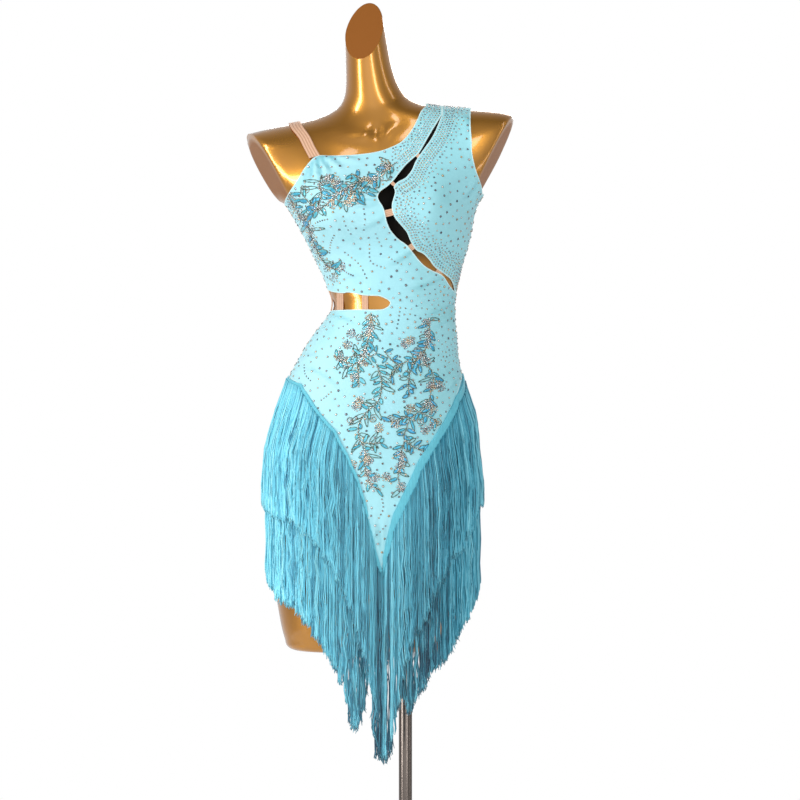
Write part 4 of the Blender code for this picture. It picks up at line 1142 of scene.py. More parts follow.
# view, left edge and where, right edge and where, from the front over the top to the back
strapRows = [
    ("front", -155, 1333, -137.5, 1337.5), ("front", -164, 1350, -146, 1352),
    ("front", -173.5, 1368, -155, 1370), ("top", -185, -45, -166, -46), ("top", -190, -22, -171.5, -22),
    ("top", -192, 5, -174, 5), ("top", -190, 34, -173, 34), ("top", -187, 56, -170.5, 56),
    ("top", -184.5, 72, -168.5, 72), ("back", -182, 1364, -166, 1368),
    ("back", -178.5, 1354, -162.5, 1358), ("back", -172, 1340, -157, 1343),
    ("back", -165, 1315, -150, 1320), ("back", -160, 1293, -145, 1302)]
# middle of each bridge over the slit in x and z, and its width
bridges = inMetres([
    (20.3, 1337.2, 7), (-20.5, 1291, 6), (-27, 1244, 11), (9.7, 1190.7, 10), (53.5, 1151.5, 10)])
# view, middle, top, bottom and width of each tab over the cut-out
tabs = [
    ("left", -6, 1123.2, 1088, 14), ("front", -106.5, 1117.6, 1088.6, 11),
    ("front", -65.5, 1113.2, 1089.6, 10), ("back", -95, 1116, 1090, 11)]


def ribbon(name, rows, node, lift):
    # a ribbed band through rows of two (place, normal) pairs
    sides, normals = np.moveaxis(np.array(rows), 2, 0)
    at = np.linspace(0.0, len(rows) - 1.0, (len(rows) - 1) * elastic["rowSteps"] + 1)
    sides = readRows(sides.reshape(len(rows), 6), at).reshape(-1, 2, 3)
    normals = unit(readRows(normals.reshape(len(rows), 6), at).reshape(-1, 2, 3))
    share = np.linspace(0.0, 1.0, elastic["ribs"] * elastic["ribSteps"] + 1)
    wave = 0.5 - 0.5 * np.cos(share * elastic["ribs"] * 2.0 * math.pi)
    right = share[None, :, None]
    left = (1 - share)[None, :, None]
    base = sides[:, :1] * left + sides[:, 1:] * right
    up = unit(normals[:, :1] * left + normals[:, 1:] * right)
    ridge = elastic["ribHeight"] * (wave - 0.5)[None, :, None]
    outer = base + up * (lift + elastic["thickness"] + ridge)
    inner = base + up * lift
    obj = bandObject(name, np.concatenate([outer, inner[:, ::-1]], axis=1))
    # painted shade for the ribs: low in the grooves, middling on the inner side
    pointValues(obj, "rib", np.tile(np.r_[wave, np.full(len(wave), 0.5)], len(base)))
    return dress(obj, materials["nude"], "nude_elastic", node)


def nearestOn(line, x, z):
    found = []
    for (ax, az), (bx, bz) in zip(line, line[1:]):
        run, rise = bx - ax, bz - az
        share = min(max(((x - ax) * run + (z - az) * rise) / (run * run + rise * rise), 0.0), 1.0)
        found.append((ax + run * share, az + rise * share))
    return min(found, key=lambda p: math.hypot(p[0] - x, p[1] - z))


def makeElastics():
    rows = []
    for side, *edges in strapRows:
        a, b, c, d = inMetres([edges])[0]
        rows.append((seen(shellTree, side, a, b), seen(shellTree, side, c, d)))
    made = [ribbon("shoulderStrap", rows, "shoulder_strap", elastic["lift"])]
    for number, (x, z, width) in enumerate(bridges, 1):
        inner, outer = nearestOn(slitInner, x, z), nearestOn(slitOuter, x, z)
        run, rise = outer[0] - inner[0], outer[1] - inner[1]
        length = math.hypot(run, rise)
        side = (-rise / length * width / 2.0, run / length * width / 2.0)
        rows = [[], []]
        for sign in (1.0, -1.0):
            px, pz = x + side[0] * sign, z + side[1] * sign
            for row, edge, way in zip(rows, (slitInner, slitOuter), (-1.0, 1.0)):
                ex, ez = nearestOn(edge, px, pz)
                reach = elastic["bridgeReach"]
                row.append(seen(shellTree, "front", ex + run / length * reach * way,
                                ez + rise / length * reach * way))
        made.append(ribbon("slitBridge%d" % number, rows, "slit_bridge_%d" % number, elastic["sunk"]))
    for number, (face, *places) in enumerate(tabs, 1):
        middle, top, bottom, width = inMetres([places])[0]
        levels = (top + elastic["tabReach"], (top + bottom) / 2.0, bottom - elastic["tabReach"])
        rows = [[seen(shellTree, face, middle + side, level) for side in (-width / 2.0, width / 2.0)]
                for level in levels]
        made.append(ribbon("waistTab%d" % number, rows, "waist_tab_%d" % number, elastic["sunk"]))
    return made


elastics = makeElastics()
print("elastic:", len(elastics), "bands")

# Sprays sewn to the front, in millimetres: stems as runs in x and z, curls and clusters as places.
sprays = {
    "BellyRight": {
        "node": "applique_belly_right", "tint": (0.0, 0.45),
        "stems": [
            [(37, 1077), (39, 1053), (34, 1031), (23, 1013), (11, 1002), (6, 983), (4, 965), (7, 950)],
            [(11, 1002), (30, 1000), (41, 993), (45, 977), (41, 956), (36, 941), (23, 927), (8, 914),
             (1, 898), (-2, 883), (7, 873), (18, 866), (30, 861)],
            [(0, 881), (-6, 866), (-6, 850), (-9, 835), (-12, 819), (-5, 796)],
            [(23, 1013), (5, 1008), (-13, 997), (-27, 979)], [(-35, 1023), (-22, 1008), (-9, 999)],
            [(5, 918), (-9, 914), (-22, 909)], [(23, 925), (36, 918), (50, 911)]],
        "curls": [(-25, 914), (52, 909), (23, 909), (53, 970)],
        "clusters": [
            (34, 1069), (36, 1051), (36, 1035), (-1, 1035), (8, 1040), (25, 1015), (18, 1021),
            (34, 1006), (45, 970), (57, 965), (41, 965), (36, 937), (8, 931), (44, 927), (-16, 906),
            (32, 896), (45, 905), (-9, 855), (-4, 847), (-9, 836), (-7, 805), (-31, 821)],
    },
    "BellyLeft": {
        "node": "applique_belly_left", "tint": (0.25, 0.95),
        "stems": [
            [(-56, 1085), (-57, 1062), (-61, 1040), (-67, 1017), (-75, 1006), (-76, 988), (-75, 965)],
            [(-47, 1002), (-40, 981), (-39, 959), (-46, 940), (-62, 926), (-73, 910), (-76, 891),
             (-70, 873), (-65, 859), (-66, 844), (-62, 826), (-56, 807), (-40, 801)],
            [(-67, 1017), (-85, 1015), (-101, 1008), (-115, 1015)],
            [(-67, 1017), (-56, 1015), (-47, 1020)], [(-75, 1006), (-88, 999), (-101, 995)],
            [(-70, 875), (-54, 875), (-40, 875)]],
        "curls": [(-90, 911), (-52, 914), (-75, 1044)],
        "clusters": [
            (-58, 1074), (-58, 1061), (-59, 1050), (-88, 1051), (-94, 1033), (-108, 1015), (-66, 1018),
            (-67, 1006), (-97, 1006), (-83, 981), (-74, 943), (-79, 934), (-43, 900), (-66, 857),
            (-60, 847), (-63, 828), (-58, 810), (-49, 820), (-86, 841)],
    },
    "Bust": {
        "node": "applique_bust", "tint": (0.0, 0.8),
        "stems": [
            [(-13, 1327), (-30, 1316), (-48, 1300), (-67, 1296), (-90, 1287), (-108, 1273),
             (-125, 1258), (-143, 1248), (-162, 1236), (-156, 1219), (-149, 1200), (-141, 1180),
             (-127, 1161), (-108, 1154)],
            [(-189, 1275), (-180, 1254), (-164, 1236)],
            [(-135, 1306), (-138, 1289), (-135, 1271), (-143, 1248)],
            [(-90, 1287), (-77, 1283), (-58, 1284)], [(-92, 1279), (-77, 1277), (-61, 1277)],
            [(-67, 1296), (-77, 1302), (-87, 1308)], [(-48, 1300), (-34, 1296), (-23, 1298)],
            [(-143, 1248), (-156, 1263), (-168, 1279), (-167, 1289)],
            [(-108, 1273), (-116, 1287), (-123, 1300)], [(-108, 1263), (-92, 1260), (-79, 1267)]],
        "curls": [(-129, 1298), (-159, 1283), (-83, 1269), (-34, 1319)],
        "clusters": [
            (-32, 1323), (-27, 1316), (-40, 1312), (-54, 1298), (-44, 1300), (-65, 1296), (-123, 1300),
            (-112, 1296), (-108, 1289), (-133, 1287), (-114, 1267), (-104, 1277), (-89, 1281),
            (-85, 1269), (-90, 1261), (-118, 1258), (-143, 1254), (-166, 1238), (-172, 1242),
            (-160, 1231), (-154, 1219), (-154, 1209), (-149, 1198), (-145, 1188), (-141, 1176),
            (-184, 1263), (-185, 1271), (-180, 1254), (-127, 1159), (-104, 1159), (-116, 1143)],
    },
}
applique = {
    "seed": 5, "leafPitch": 0.0088, "leafLength": (0.0085, 0.0190), "leafWidth": (0.0038, 0.0066),
    "bothSides": 0.45, "leafLean": (22.0, 84.0), "leafOff": 0.0016, "openLeaves": 0.27,
    "openStretch": 1.35, "leafSides": 14, "leafInsets": ((0.30, 0.75), (0.40, 0.25)),
    "leafPoint": 1.35, "leafBase": 1.18, "leafTaper": 0.36, "smoothTo": 35.0,
    "rimHeight": 0.0004, "leafRise": 0.0008, "sunk": 0.0003,
    "cordRadius": 0.00068, "cordSides": 5, "cordLift": 0.0004, "stemStep": 0.0011, "bead": 0.25,
    "curlRadius": (0.0070, 0.0012), "curlTurns": 1.6, "curlPoints": 30,
    "stemStone": 0.0034, "besideStem": 0.0010,
    "clusterRings": ((6, 0.0034), (10, 0.0066)), "ringReach": (0.85, 1.15),
    "beads": 16, "beadReach": 0.0085,
    "stemStones": {"sizes": (0.0022, 0.0029), "tints": (0.45, 1.0), "lift": 0.0005},
    "curlStones": {"sizes": (0.0020, 0.0027), "tints": (0.2, 1.0), "lift": 0.0004},
    "clusterStones": {"sizes": (0.0026, 0.0037), "tints": (0.0, 1.0), "lift": 0.0003, "power": 0.5},
    "darkBeads": {"sizes": (0.0018, 0.0027), "tints": (0.0, 0.2), "lift": 0.0002},
}
crystals = {
    "seed": 23, "shape": {"sides": 8, "table": 0.28, "height": 0.30, "rim": 0.1}, "sunk": 0.0001,
    "paintedRimReflection": 0.14,
    "darts": 26000, "fromEdge": 0.0034, "fromSpray": 0.0052, "closest": 0.0044,
    "rowPitch": 0.0044, "pathStep": 0.002, "shortStep": 0.0005,
    # rows beside the slit: first and last point of its edge, first row, step and number of rows
    "outerRows": ((0, 8, -0.0036, -0.0041, 5), (10, 22, -0.0036, -0.0041, 3)),
    "innerRows": ((0, 5, 0.0040, 0.0040, 4),),
    "shoulderRows": {"sizes": (0.0028, 0.0034), "tints": (0.1, 0.8)},
    "frontRows": {"sizes": (0.0028, 0.0034), "tints": (0.3, 1.0)},
    "shortRows": {"sizes": (0.0030, 0.0035), "tints": (0.0, 0.5)},
    "wideGap": 0.009, "wideStone": (0.0037, 0.0049), "closeStone": (0.0028, 0.0035),
    "looseTints": (0.0, 0.85), "backLevel": 1.20,
    # gap away from edges and dense spots, the dense patch by the neckline,
    # and the x, z, reach and gain of the spots
    "frontGap": 0.0125, "neckPatch": (-0.022, 1.312), "plainBack": 0.0135,
    "frontSpots": [(0.070, 1.020, 0.030, 0.0060), (0.040, 1.105, 0.035, 0.0050),
                   (-0.005, 1.075, 0.030, 0.0035)],
    "shoulderSpots": [(0.062, 1.168, 0.022, 0.0060)],
    # gap at the edge, what it grows by, from where, and over what width
    "shoulderEdge": (0.0044, 0.0085, 0.018, 0.045), "backEdge": (0.0050, 0.0085, 0.012, 0.030),
}


def leafTemplate():
    # a padded leaf of unit size, shaped once: a drum with its top inset and raised twice
    deselectAll()
    bpy.ops.mesh.primitive_cylinder_add(vertices=applique["leafSides"], radius=1.0, depth=1.0,
                                        location=(0.0, 0.0, 0.5))
    obj = bpy.context.object
    bpy.ops.object.transform_apply(location=True, rotation=True, scale=True)
    for thickness, depth in applique["leafInsets"]:
        selectNothing(obj)
        top = max(face.center.z for face in obj.data.polygons)
        for face in obj.data.polygons:
            face.select = face.center.z > top - 1e-4
        switchTo("EDIT")
        bpy.ops.mesh.select_mode(type="FACE")
        bpy.ops.mesh.inset(thickness=thickness, depth=depth)
    return takeTemplate(obj)


def takeTemplate(obj):
    # the points and triangles of a shape that is copied many times
    editAll(obj)
    bpy.ops.mesh.quads_convert_to_tris()
    switchTo("OBJECT")
    points = meshPoints(obj)
    faces = np.array([p.vertices[:] for p in obj.data.polygons])
    bpy.data.objects.remove(obj)
    return points, faces


def stoneTemplate():
    # a flat-backed stone: eight slanting facets round a table
    deselectAll()
    shape = crystals["shape"]
    bpy.ops.mesh.primitive_cone_add(vertices=shape["sides"], radius1=0.5, radius2=shape["table"],
                                    depth=shape["height"], location=(0.0, 0.0, shape["height"] / 2.0))
    obj = bpy.context.object
    bpy.ops.object.transform_apply(location=True, rotation=True, scale=True)
    return takeTemplate(obj)


def roundPlaces(x, z, spin, reach):
    return np.stack([x + reach * np.cos(spin), z + reach * np.sin(spin)], -1)


leafShape = leafTemplate()
stoneShape = stoneTemplate()
leafRing = roundPlaces(0.0, 0.0, np.linspace(0.0, 2.0 * math.pi, applique["leafSides"] + 1), 1.0)
leafLift = applique["rimHeight"] + (leafShape[0][:, 2] - 1.0) * applique["leafRise"]
leafLift = np.where(leafShape[0][:, 2] < 0.5, -applique["sunk"], leafLift)


def onCloth(path, tree=None):
    # the cloth under a run of (x, z) points, as (place, normal) pairs
    hits = [seen(tree or frontTree, "front", x, z) for x, z in path]
    return [hit for hit in hits if hit is not None]


def evenPath(points, step):
    # a smooth run through its points, with even steps
    fine = readRows(points, np.linspace(0.0, len(points) - 1.0, len(points) * samples["path"]))
    length = runLength(fine)
    return alongRun(np.arange(0.0, length[-1] + step * 0.5, step), length, fine)


def leafOutline(start, direction, length, width, points):
    # unit leaf points to x and z: pointed at both ends, widest below the middle
    u = (points[:, 0] + 1.0) / 2.0
    v = signedPower(points[:, 1], applique["leafPoint"])
    v = v * (applique["leafBase"] - applique["leafTaper"] * u)
    side = np.array([-direction[1], direction[0]])
    return start + u[:, None] * length * direction + v[:, None] * width / 2.0 * side


def jewelled(hits, rng, sizes, tints, lift=0.0, power=1.0):
    # a stone of random size and tint at each (place, normal)
    return [(place, normal, rng.uniform(*sizes), lift, rng.uniform(*tints) ** power)
            for place, normal in hits]


def makeStem(stem, tints, rng):
    # one stem with its leaves: cords, padded leaves as (points, tint), and stones
    path = evenPath(inMetres(stem), applique["stemStep"])
    cords, leaves = [onCloth(path)], []
    gap = max(int(applique["stemStone"] / applique["stemStep"]), 1)
    beside = np.gradient(path, axis=0)[:, ::-1] * (1.0, -1.0) * applique["besideStem"]
    beside = beside / applique["stemStep"]
    swing = np.where(np.arange(len(path)) // gap % 2, 1.0, -1.0)[:, None]
    stones = jewelled(onCloth((path + beside * swing)[1::gap]), rng, **applique["stemStones"])
    pitch = int(applique["leafPitch"] / applique["stemStep"])
    for number, i in enumerate(range(pitch // 3, len(path), pitch)):
        along = path[min(i + 2, len(path) - 1)] - path[max(i - 2, 0)]
        along = along / np.linalg.norm(along)
        both = rng.uniform() < applique["bothSides"]
        for side in ((1.0, -1.0) if both else ((-1.0) ** number,)):
            outline, padded, tint = makeLeaf(path[i], along, side, tints, rng)
            if outline:
                cords.append(outline)
            if padded is not None:
                leaves.append((padded, tint))
    return cords, leaves, stones


def makeLeaf(root, along, side, tints, rng):
    lean = math.radians(rng.uniform(*applique["leafLean"])) * side
    direction = np.array([along[0] * math.cos(lean) - along[1] * math.sin(lean),
                          along[0] * math.sin(lean) + along[1] * math.cos(lean)])
    length = rng.uniform(*applique["leafLength"])
    width = rng.uniform(*applique["leafWidth"])
    start = root + direction * applique["leafOff"]
    isOpen = rng.uniform() < applique["openLeaves"]
    length = length * (applique["openStretch"] if isOpen else 1.0)
    tint = rng.uniform(*tints)
    outline = onCloth(leafOutline(start, direction, length, width, leafRing))
    if len(outline) < len(leafRing):
        return None, None, tint
    if isOpen:
        return outline, None, tint
    hits = onCloth(leafOutline(start, direction, length, width, leafShape[0]))
    if len(hits) < len(leafLift):
        return outline, None, tint
    places, normals = np.moveaxis(np.array(hits), 1, 0)
    return outline, places + normals * leafLift[:, None], tint


def makeSpray(name, spray, rng):
    cords, leaves, stones = [], [], []
    for stem in spray["stems"]:
        for found, fresh in zip((cords, leaves, stones), makeStem(stem, spray["tint"], rng)):
            found.extend(fresh)
    for x, z in inMetres(spray["curls"]):
        turn, points = 2.0 * math.pi, applique["curlPoints"]
        spin = rng.uniform(0.0, turn) + np.linspace(0.0, applique["curlTurns"] * turn, points)
        reach = np.linspace(*applique["curlRadius"], points)
        cords.append(onCloth(roundPlaces(x, z, spin, reach)))
        stones += jewelled(cords[-1][::2], rng, **applique["curlStones"])
    for x, z in inMetres(spray["clusters"]):
        around = [(x, z)]
        for count, reach in applique["clusterRings"]:
            spin = rng.uniform(0.0, 2.0 * math.pi) + np.arange(count) * 2.0 * math.pi / count
            reach = reach * rng.uniform(*applique["ringReach"], count)
            around += list(roundPlaces(x, z, spin, reach))
        stones += jewelled(onCloth(around), rng, **applique["clusterStones"])
        spin = rng.uniform(0.0, 2.0 * math.pi, applique["beads"])
        reach = applique["beadReach"] * np.sqrt(rng.uniform(0.0, 1.0, applique["beads"]))
        stones += jewelled(onCloth(roundPlaces(x, z, spin, reach)), rng, **applique["darkBeads"])
    count = len(leafShape[0])
    foil = fastMesh("leaves" + name, np.vstack([points for points, _ in leaves]),
                    copies(count, leafShape[1], len(leaves)))
    pointValues(foil, "tint", np.repeat([tint for _, tint in leaves], count))
    smoothShade(foil, applique["smoothTo"])
    dress(foil, materials["foil"], "foil_applique", spray["node"])
    cord = tubeObject("cords" + name, [run for run in cords if len(run) > 2], applique["cordRadius"],
                      applique["cordLift"], applique["cordSides"], applique["bead"])
    dress(cord, materials["cord"], "foil_applique")
    print("applique:", name, len(leaves), "leaves", len(stones), "stones")
    return [cord, foil], stones


def placeStones(name, stones, rng):
    # stones as (place, normal, diameter, lift, tint), copied from one shape into one mesh
    places, normals, sizes, lifts, tints = (np.array(column) for column in zip(*stones))
    normals = unit(normals)
    turn = rng.uniform(0.0, 2.0 * math.pi, len(stones))
    helper = np.where(np.abs(normals[:, 2:]) > 0.9, np.array([[1.0, 0.0, 0.0]]),
                      np.array([[0.0, 0.0, 1.0]]))
    first = unit(np.cross(helper, normals))
    second = np.cross(normals, first)
    across = first * np.cos(turn)[:, None] + second * np.sin(turn)[:, None]
    along = np.cross(normals, across)
    shape, triangles = stoneShape
    scaled = shape[None] * sizes[:, None, None]
    points = (places[:, None] + scaled[..., 0:1] * across[:, None] + scaled[..., 1:2] * along[:, None]
              + (scaled[..., 2:3] + lifts[:, None, None] - crystals["sunk"]) * normals[:, None])
    obj = fastMesh(name, points.reshape(-1, 3), copies(len(shape), triangles, len(stones)))
    # painted reflection: each stone's base ring is darker than its table
    rim = np.where(shape[:, 2] < crystals["shape"]["rim"], crystals["paintedRimReflection"], 1.0)
    pointValues(obj, "tint", (tints[:, None] * rim[None]).ravel())
    return dress(obj, materials["crystal"], "crystal")


# short curved rows of small stones in millimetres, each with its number of stones
stoneRows = [
    ([(-145, 1229), (-136, 1232), (-125, 1234)], 6), ([(-123, 1182), (-121, 1196), (-115, 1209)], 8),
    ([(-100, 1238), (-96, 1224), (-88, 1211)], 5), ([(-67, 1250), (-65, 1233), (-67, 1217)], 5),
    ([(-58, 1194), (-56, 1167), (-34, 1157)], 9), ([(-27, 1174), (-17, 1167), (-7, 1163)], 5),
    ([(-98, 1182), (-75, 1163), (-63, 1141)], 9), ([(-48, 1211), (-44, 1201), (-39, 1192)], 4),
    ([(-102, 1155), (-94, 1149), (-85, 1145)], 6), ([(-9, 1093), (-11, 1077), (-14, 1060)], 6),
    ([(-108, 1060), (-95, 1066), (-83, 1078)], 5), ([(-165, 1000), (-163, 985), (-154, 975)], 7),
    ([(-136, 944), (-128, 950), (-120, 957)], 5), ([(-38, 785), (-36, 770), (-43, 755)], 6),
    ([(-32, 742), (-40, 734), (-46, 728)], 4)]


def near(points, x, z, reach):
    return np.exp(-((points[:, 0] - x) ** 2 + (points[:, 2] - z) ** 2) / reach ** 2)


def closer(gap, points, spots):
    for x, z, reach, gain in spots:
        gap = gap - gain * near(points, x, z, reach)
    return np.maximum(gap, crystals["closest"])


def fromEdge(points, line, edge):
    gap, growth, start, width = edge
    return gap + growth * ease((awayFrom(points, line) - start) / width)


def frontSpacing(points):
    left, low = crystals["neckPatch"]
    patch = (points[:, 0] > left) & (points[:, 2] > low)
    gap = np.where(patch, crystals["closest"], crystals["frontGap"])
    return closer(gap, points, crystals["frontSpots"])


def shoulderSpacing(points):
    return closer(fromEdge(points, slitOuter, crystals["shoulderEdge"]), points,
                  crystals["shoulderSpots"])


def backSpacing(points):
    gap = fromEdge(points, backNeckline, crystals["backEdge"])
    return np.where(points[:, 2] < crystals["backLevel"], crystals["plainBack"], gap)


def treeOfPlaces(places):
    tree = KDTree(len(places))
    for i, place in enumerate(places):
        tree.insert(place, i)
    tree.balance()
    return tree


def scatter(name, spacing, taken, avoid, rng):
    # darts over the cloth's outer side, none closer than the spacing where it lands
    points, triangles, normals, rims = skins[name]
    a, b, c = (points[triangles[:, k]] for k in range(3))
    area = np.linalg.norm(np.cross(b - a, c - a), axis=1)
    weight = area / spacing((a + b + c) / 3.0) ** 2
    picks = rng.choice(len(triangles), crystals["darts"], p=weight / weight.sum())
    u, v = rng.uniform(0.0, 1.0, (2, len(picks)))
    flip = u + v > 1.0
    u, v = np.where(flip, 1.0 - u, u)[:, None], np.where(flip, 1.0 - v, v)[:, None]
    spots = a[picks] + (b[picks] - a[picks]) * u + (c[picks] - a[picks]) * v
    up = unit(normals[triangles[picks]].mean(axis=1))
    gaps = spacing(spots)
    edge = treeOfPlaces([place for run in rims for place, _ in run])
    sewn = treeOfPlaces(avoid) if avoid else None
    count = len(taken)
    kept = np.vstack([taken, np.zeros((len(picks), 3))])
    chosen = []
    for i, place in enumerate(spots):
        if count and np.min(np.sum((kept[:count] - place) ** 2, axis=1)) < gaps[i] ** 2:
            continue
        if edge.find(place)[2] < crystals["fromEdge"]:
            continue
        if sewn and sewn.find(place)[2] < crystals["fromSpray"]:
            continue
        kept[count] = place
        count += 1
        chosen.append((place + up[i] * cloth["wall"], up[i], gaps[i]))
    return chosen


def rowsBeside(line, runs, tree):
    # rows of stones beside an edge, lattice-like
    stones = []
    for begin, end, start, step, count in runs:
        path = evenPath(line[begin:end], crystals["pathStep"])
        along = np.gradient(path, axis=0)
        side = np.stack([along[:, 1], -along[:, 0]], -1)
        side = side / np.linalg.norm(side, axis=1, keepdims=True)
        for number in range(count):
            row = evenPath(path + side * (start + step * number), crystals["rowPitch"])
            row = row + (row[1] - row[0]) * (0.5 if number % 2 else 0.0)
            stones += onCloth(row, tree)
    return stones


def makeStones(blocked):
    rng = np.random.default_rng(crystals["seed"])
    shoulderTree, bodiceTree = treeOf(panels["shoulderPanel"]), treeOf(panels["bodiceFront"])
    shoulderRows = jewelled(rowsBeside(slitOuter, crystals["outerRows"], shoulderTree), rng,
                            **crystals["shoulderRows"])
    frontRows = jewelled(rowsBeside(slitInner, crystals["innerRows"], bodiceTree), rng,
                         **crystals["frontRows"])
    for path, count in stoneRows:
        run = evenPath(inMetres(path), crystals["shortStep"])
        picks = run[np.linspace(0, len(run) - 1, count).astype(int)]
        frontRows += jewelled(onCloth(picks, bodiceTree), rng, **crystals["shortRows"])
    made = {}
    for name, spacing, rowStones, avoid in (
            ("bodiceFront", frontSpacing, frontRows, blocked),
            ("shoulderPanel", shoulderSpacing, shoulderRows, []),
            ("bodiceBack", backSpacing, [], [])):
        taken = np.array([stone[0] for stone in rowStones]).reshape(-1, 3)
        stones = list(rowStones)
        for place, normal, gap in scatter(name, spacing, taken, avoid, rng):
            sizes = crystals["wideStone" if gap > crystals["wideGap"] else "closeStone"]
            stones += jewelled([(place, normal)], rng, sizes, crystals["looseTints"])
        made[name] = placeStones("stones" + name[0].upper() + name[1:], stones, rng)
        print("stones:", name, len(stones))
    return made


def makeDecoration():
    rng = np.random.default_rng(applique["seed"])
    trims, blocked = [], []
    for name, spray in sprays.items():
        pieces, stones = makeSpray(name, spray, rng)
        trims += pieces + [placeStones("stones" + name, stones, rng)]
        blocked += [stone[0] for stone in stones]
    return trims, makeStones(blocked)


trims, stonePieces = makeDecoration()


fringe = {
    "seed": 11, "lockPitch": 0.0046, "strandsInLock": 15,
    "shares": (0.0, 0.06, 0.15, 0.25, 0.35, 0.45, 0.55, 0.65, 0.75, 0.84, 0.92, 0.97, 1.0),
    "corners": (90.0, 210.0, 330.0), "strandRadius": 0.00062, "strandGrowth": 0.25,
    "tipSwell": 1.35, "tipThin": 0.7, "tipCurl": 0.0018, "tips": (0.85, 0.93, 0.99),
    "spread": 0.0056, "rootSpread": 0.6, "rootUp": 0.0015, "shortest": 0.02,
    "depth": 0.0036, "rootDepth": 0.3, "rootShare": 0.35, "tipSpread": 0.35, "settle": 3.0,
    "hipLevel": 0.800, "upperHang": 0.0095, "lockOut": 0.0022, "billow": (0.8, 0.0008),
    "wave": 0.0015, "waveLength": 0.062, "strandWave": 0.0008, "ripples": (9.0, 22.0),
    "lockRagged": 0.003, "strandRagged": 0.0022, "lean": 0.0012,
    # tone of the locks and strands, then painted shade on strands deep inside a lock and at its edges
    "lockTone": 0.7, "nextTone": 0.3, "toneMix": (0.6, 0.4), "depthShade": (0.50, 0.50),
    "lockEdgeShade": (1.12, 0.62),
}
tape = {
    "out": 0.0026, "heights": (0.006, 0.013), "thickness": 0.0018, "rise": 0.002, "middle": -0.038,
    "turnStep": 0.01, "steepest": 3.0, "stitch": 0.0022, "stitchRidge": 0.00025, "bulge": 1.25,
}
# each quarter's seam on the bodice, and the ends of its two tiers as (x, z)
quarters = {
    ("Front", "Left"): {
        "vee": frontVeeLeft,
        "Upper": inMetres([
            (-224, 772), (-174, 746), (-137, 712), (-101, 644), (-81, 594), (-67, 524), (-54, 466),
            (-48, 378), (-37.5, 362)]),
        "Lower": inMetres([
            (-224, 656), (-174, 601), (-143, 564), (-121, 527), (-100, 487), (-92, 422), (-80, 411),
            (-64, 446), (-56, 469)]),
    },
    ("Front", "Right"): {
        "vee": frontVeeRight,
        "Upper": inMetres([
            (-38.5, 362), (-28, 372), (-11, 478), (-5, 520), (7, 556), (23, 583), (47, 641), (66, 685),
            (84, 700), (110, 770), (130, 776)]),
        "Lower": inMetres([
            (-5, 478), (4, 438), (26, 478), (41, 506), (71, 540), (87, 574), (103, 600), (115, 635),
            (130, 645)]),
    },
    ("Back", "Left"): {
        "vee": backVeeLeft,
        "Upper": inMetres([
            (-224, 772), (-174, 742), (-120, 680), (-80, 618), (-50, 580)]),
        "Lower": inMetres([
            (-224, 656), (-174, 606), (-120, 548), (-80, 508), (-50, 486)]),
    },
    ("Back", "Right"): {
        "vee": backVeeRight,
        "Upper": inMetres([
            (-50, 580), (-20, 618), (30, 680), (76, 742), (110, 770), (130, 776)]),
        "Lower": inMetres([
            (-50, 486), (-20, 508), (30, 548), (76, 596), (112, 638), (130, 645)]),
    },
}


def lineByTurn(line, back, drop=0.0, level=None):
    x, z = np.array(line).T
    turns = turnAt(x, z if level is None else np.full(len(x), level), back)
    order = np.argsort(turns)
    return turns[order], z[order] - drop


def evenTurns(ends, pitch):
    # turns that are evenly spaced round the hips, and how much turn a metre is
    start, stop = ends[0][0], ends[0][-1]
    fine = np.linspace(start, stop, samples["turns"])
    length = runLength(bodyPoints(placeAt(fringe["hipLevel"]), fine))
    count = max(int(round(length[-1] / pitch)), 1)
    turns = np.interp((np.arange(count) + 0.5) * length[-1] / count, length, fine)
    return turns, (stop - start) / length[-1]


def hanging(turn, level, root, out, aside):
    # down the hips, then straight from the widest level
    held = np.maximum(level, np.minimum(fringe["hipLevel"], root))
    place = placeAt(held)
    normal = outward(place, turn)
    tangent = unit(np.cross((0.0, 0.0, 1.0), normal))
    points = bodyPoints(place, turn) + normal * out[..., None] + tangent * aside[..., None]
    points[..., 2] += level - held
    return points, tangent, normal


def tapeLevels(seam, turn):
    # the tape's top and bottom, taller where its seam is steep
    step = tape["turnStep"]
    level = np.interp(turn, *seam)
    place = placeAt(level)
    run = bodyPoints(place, turn + step) - bodyPoints(place, turn - step)
    run = np.linalg.norm(run[..., :2], axis=-1)
    rise = np.interp(turn + step, *seam) - np.interp(turn - step, *seam)
    slant = np.minimum(np.hypot(1.0, rise / run), tape["steepest"])
    top = level + tape["rise"] * slant
    left, right = tape["heights"]
    height = np.where(bodyPoints(place, turn)[..., 0] > tape["middle"], right, left)
    return top, top - height * slant


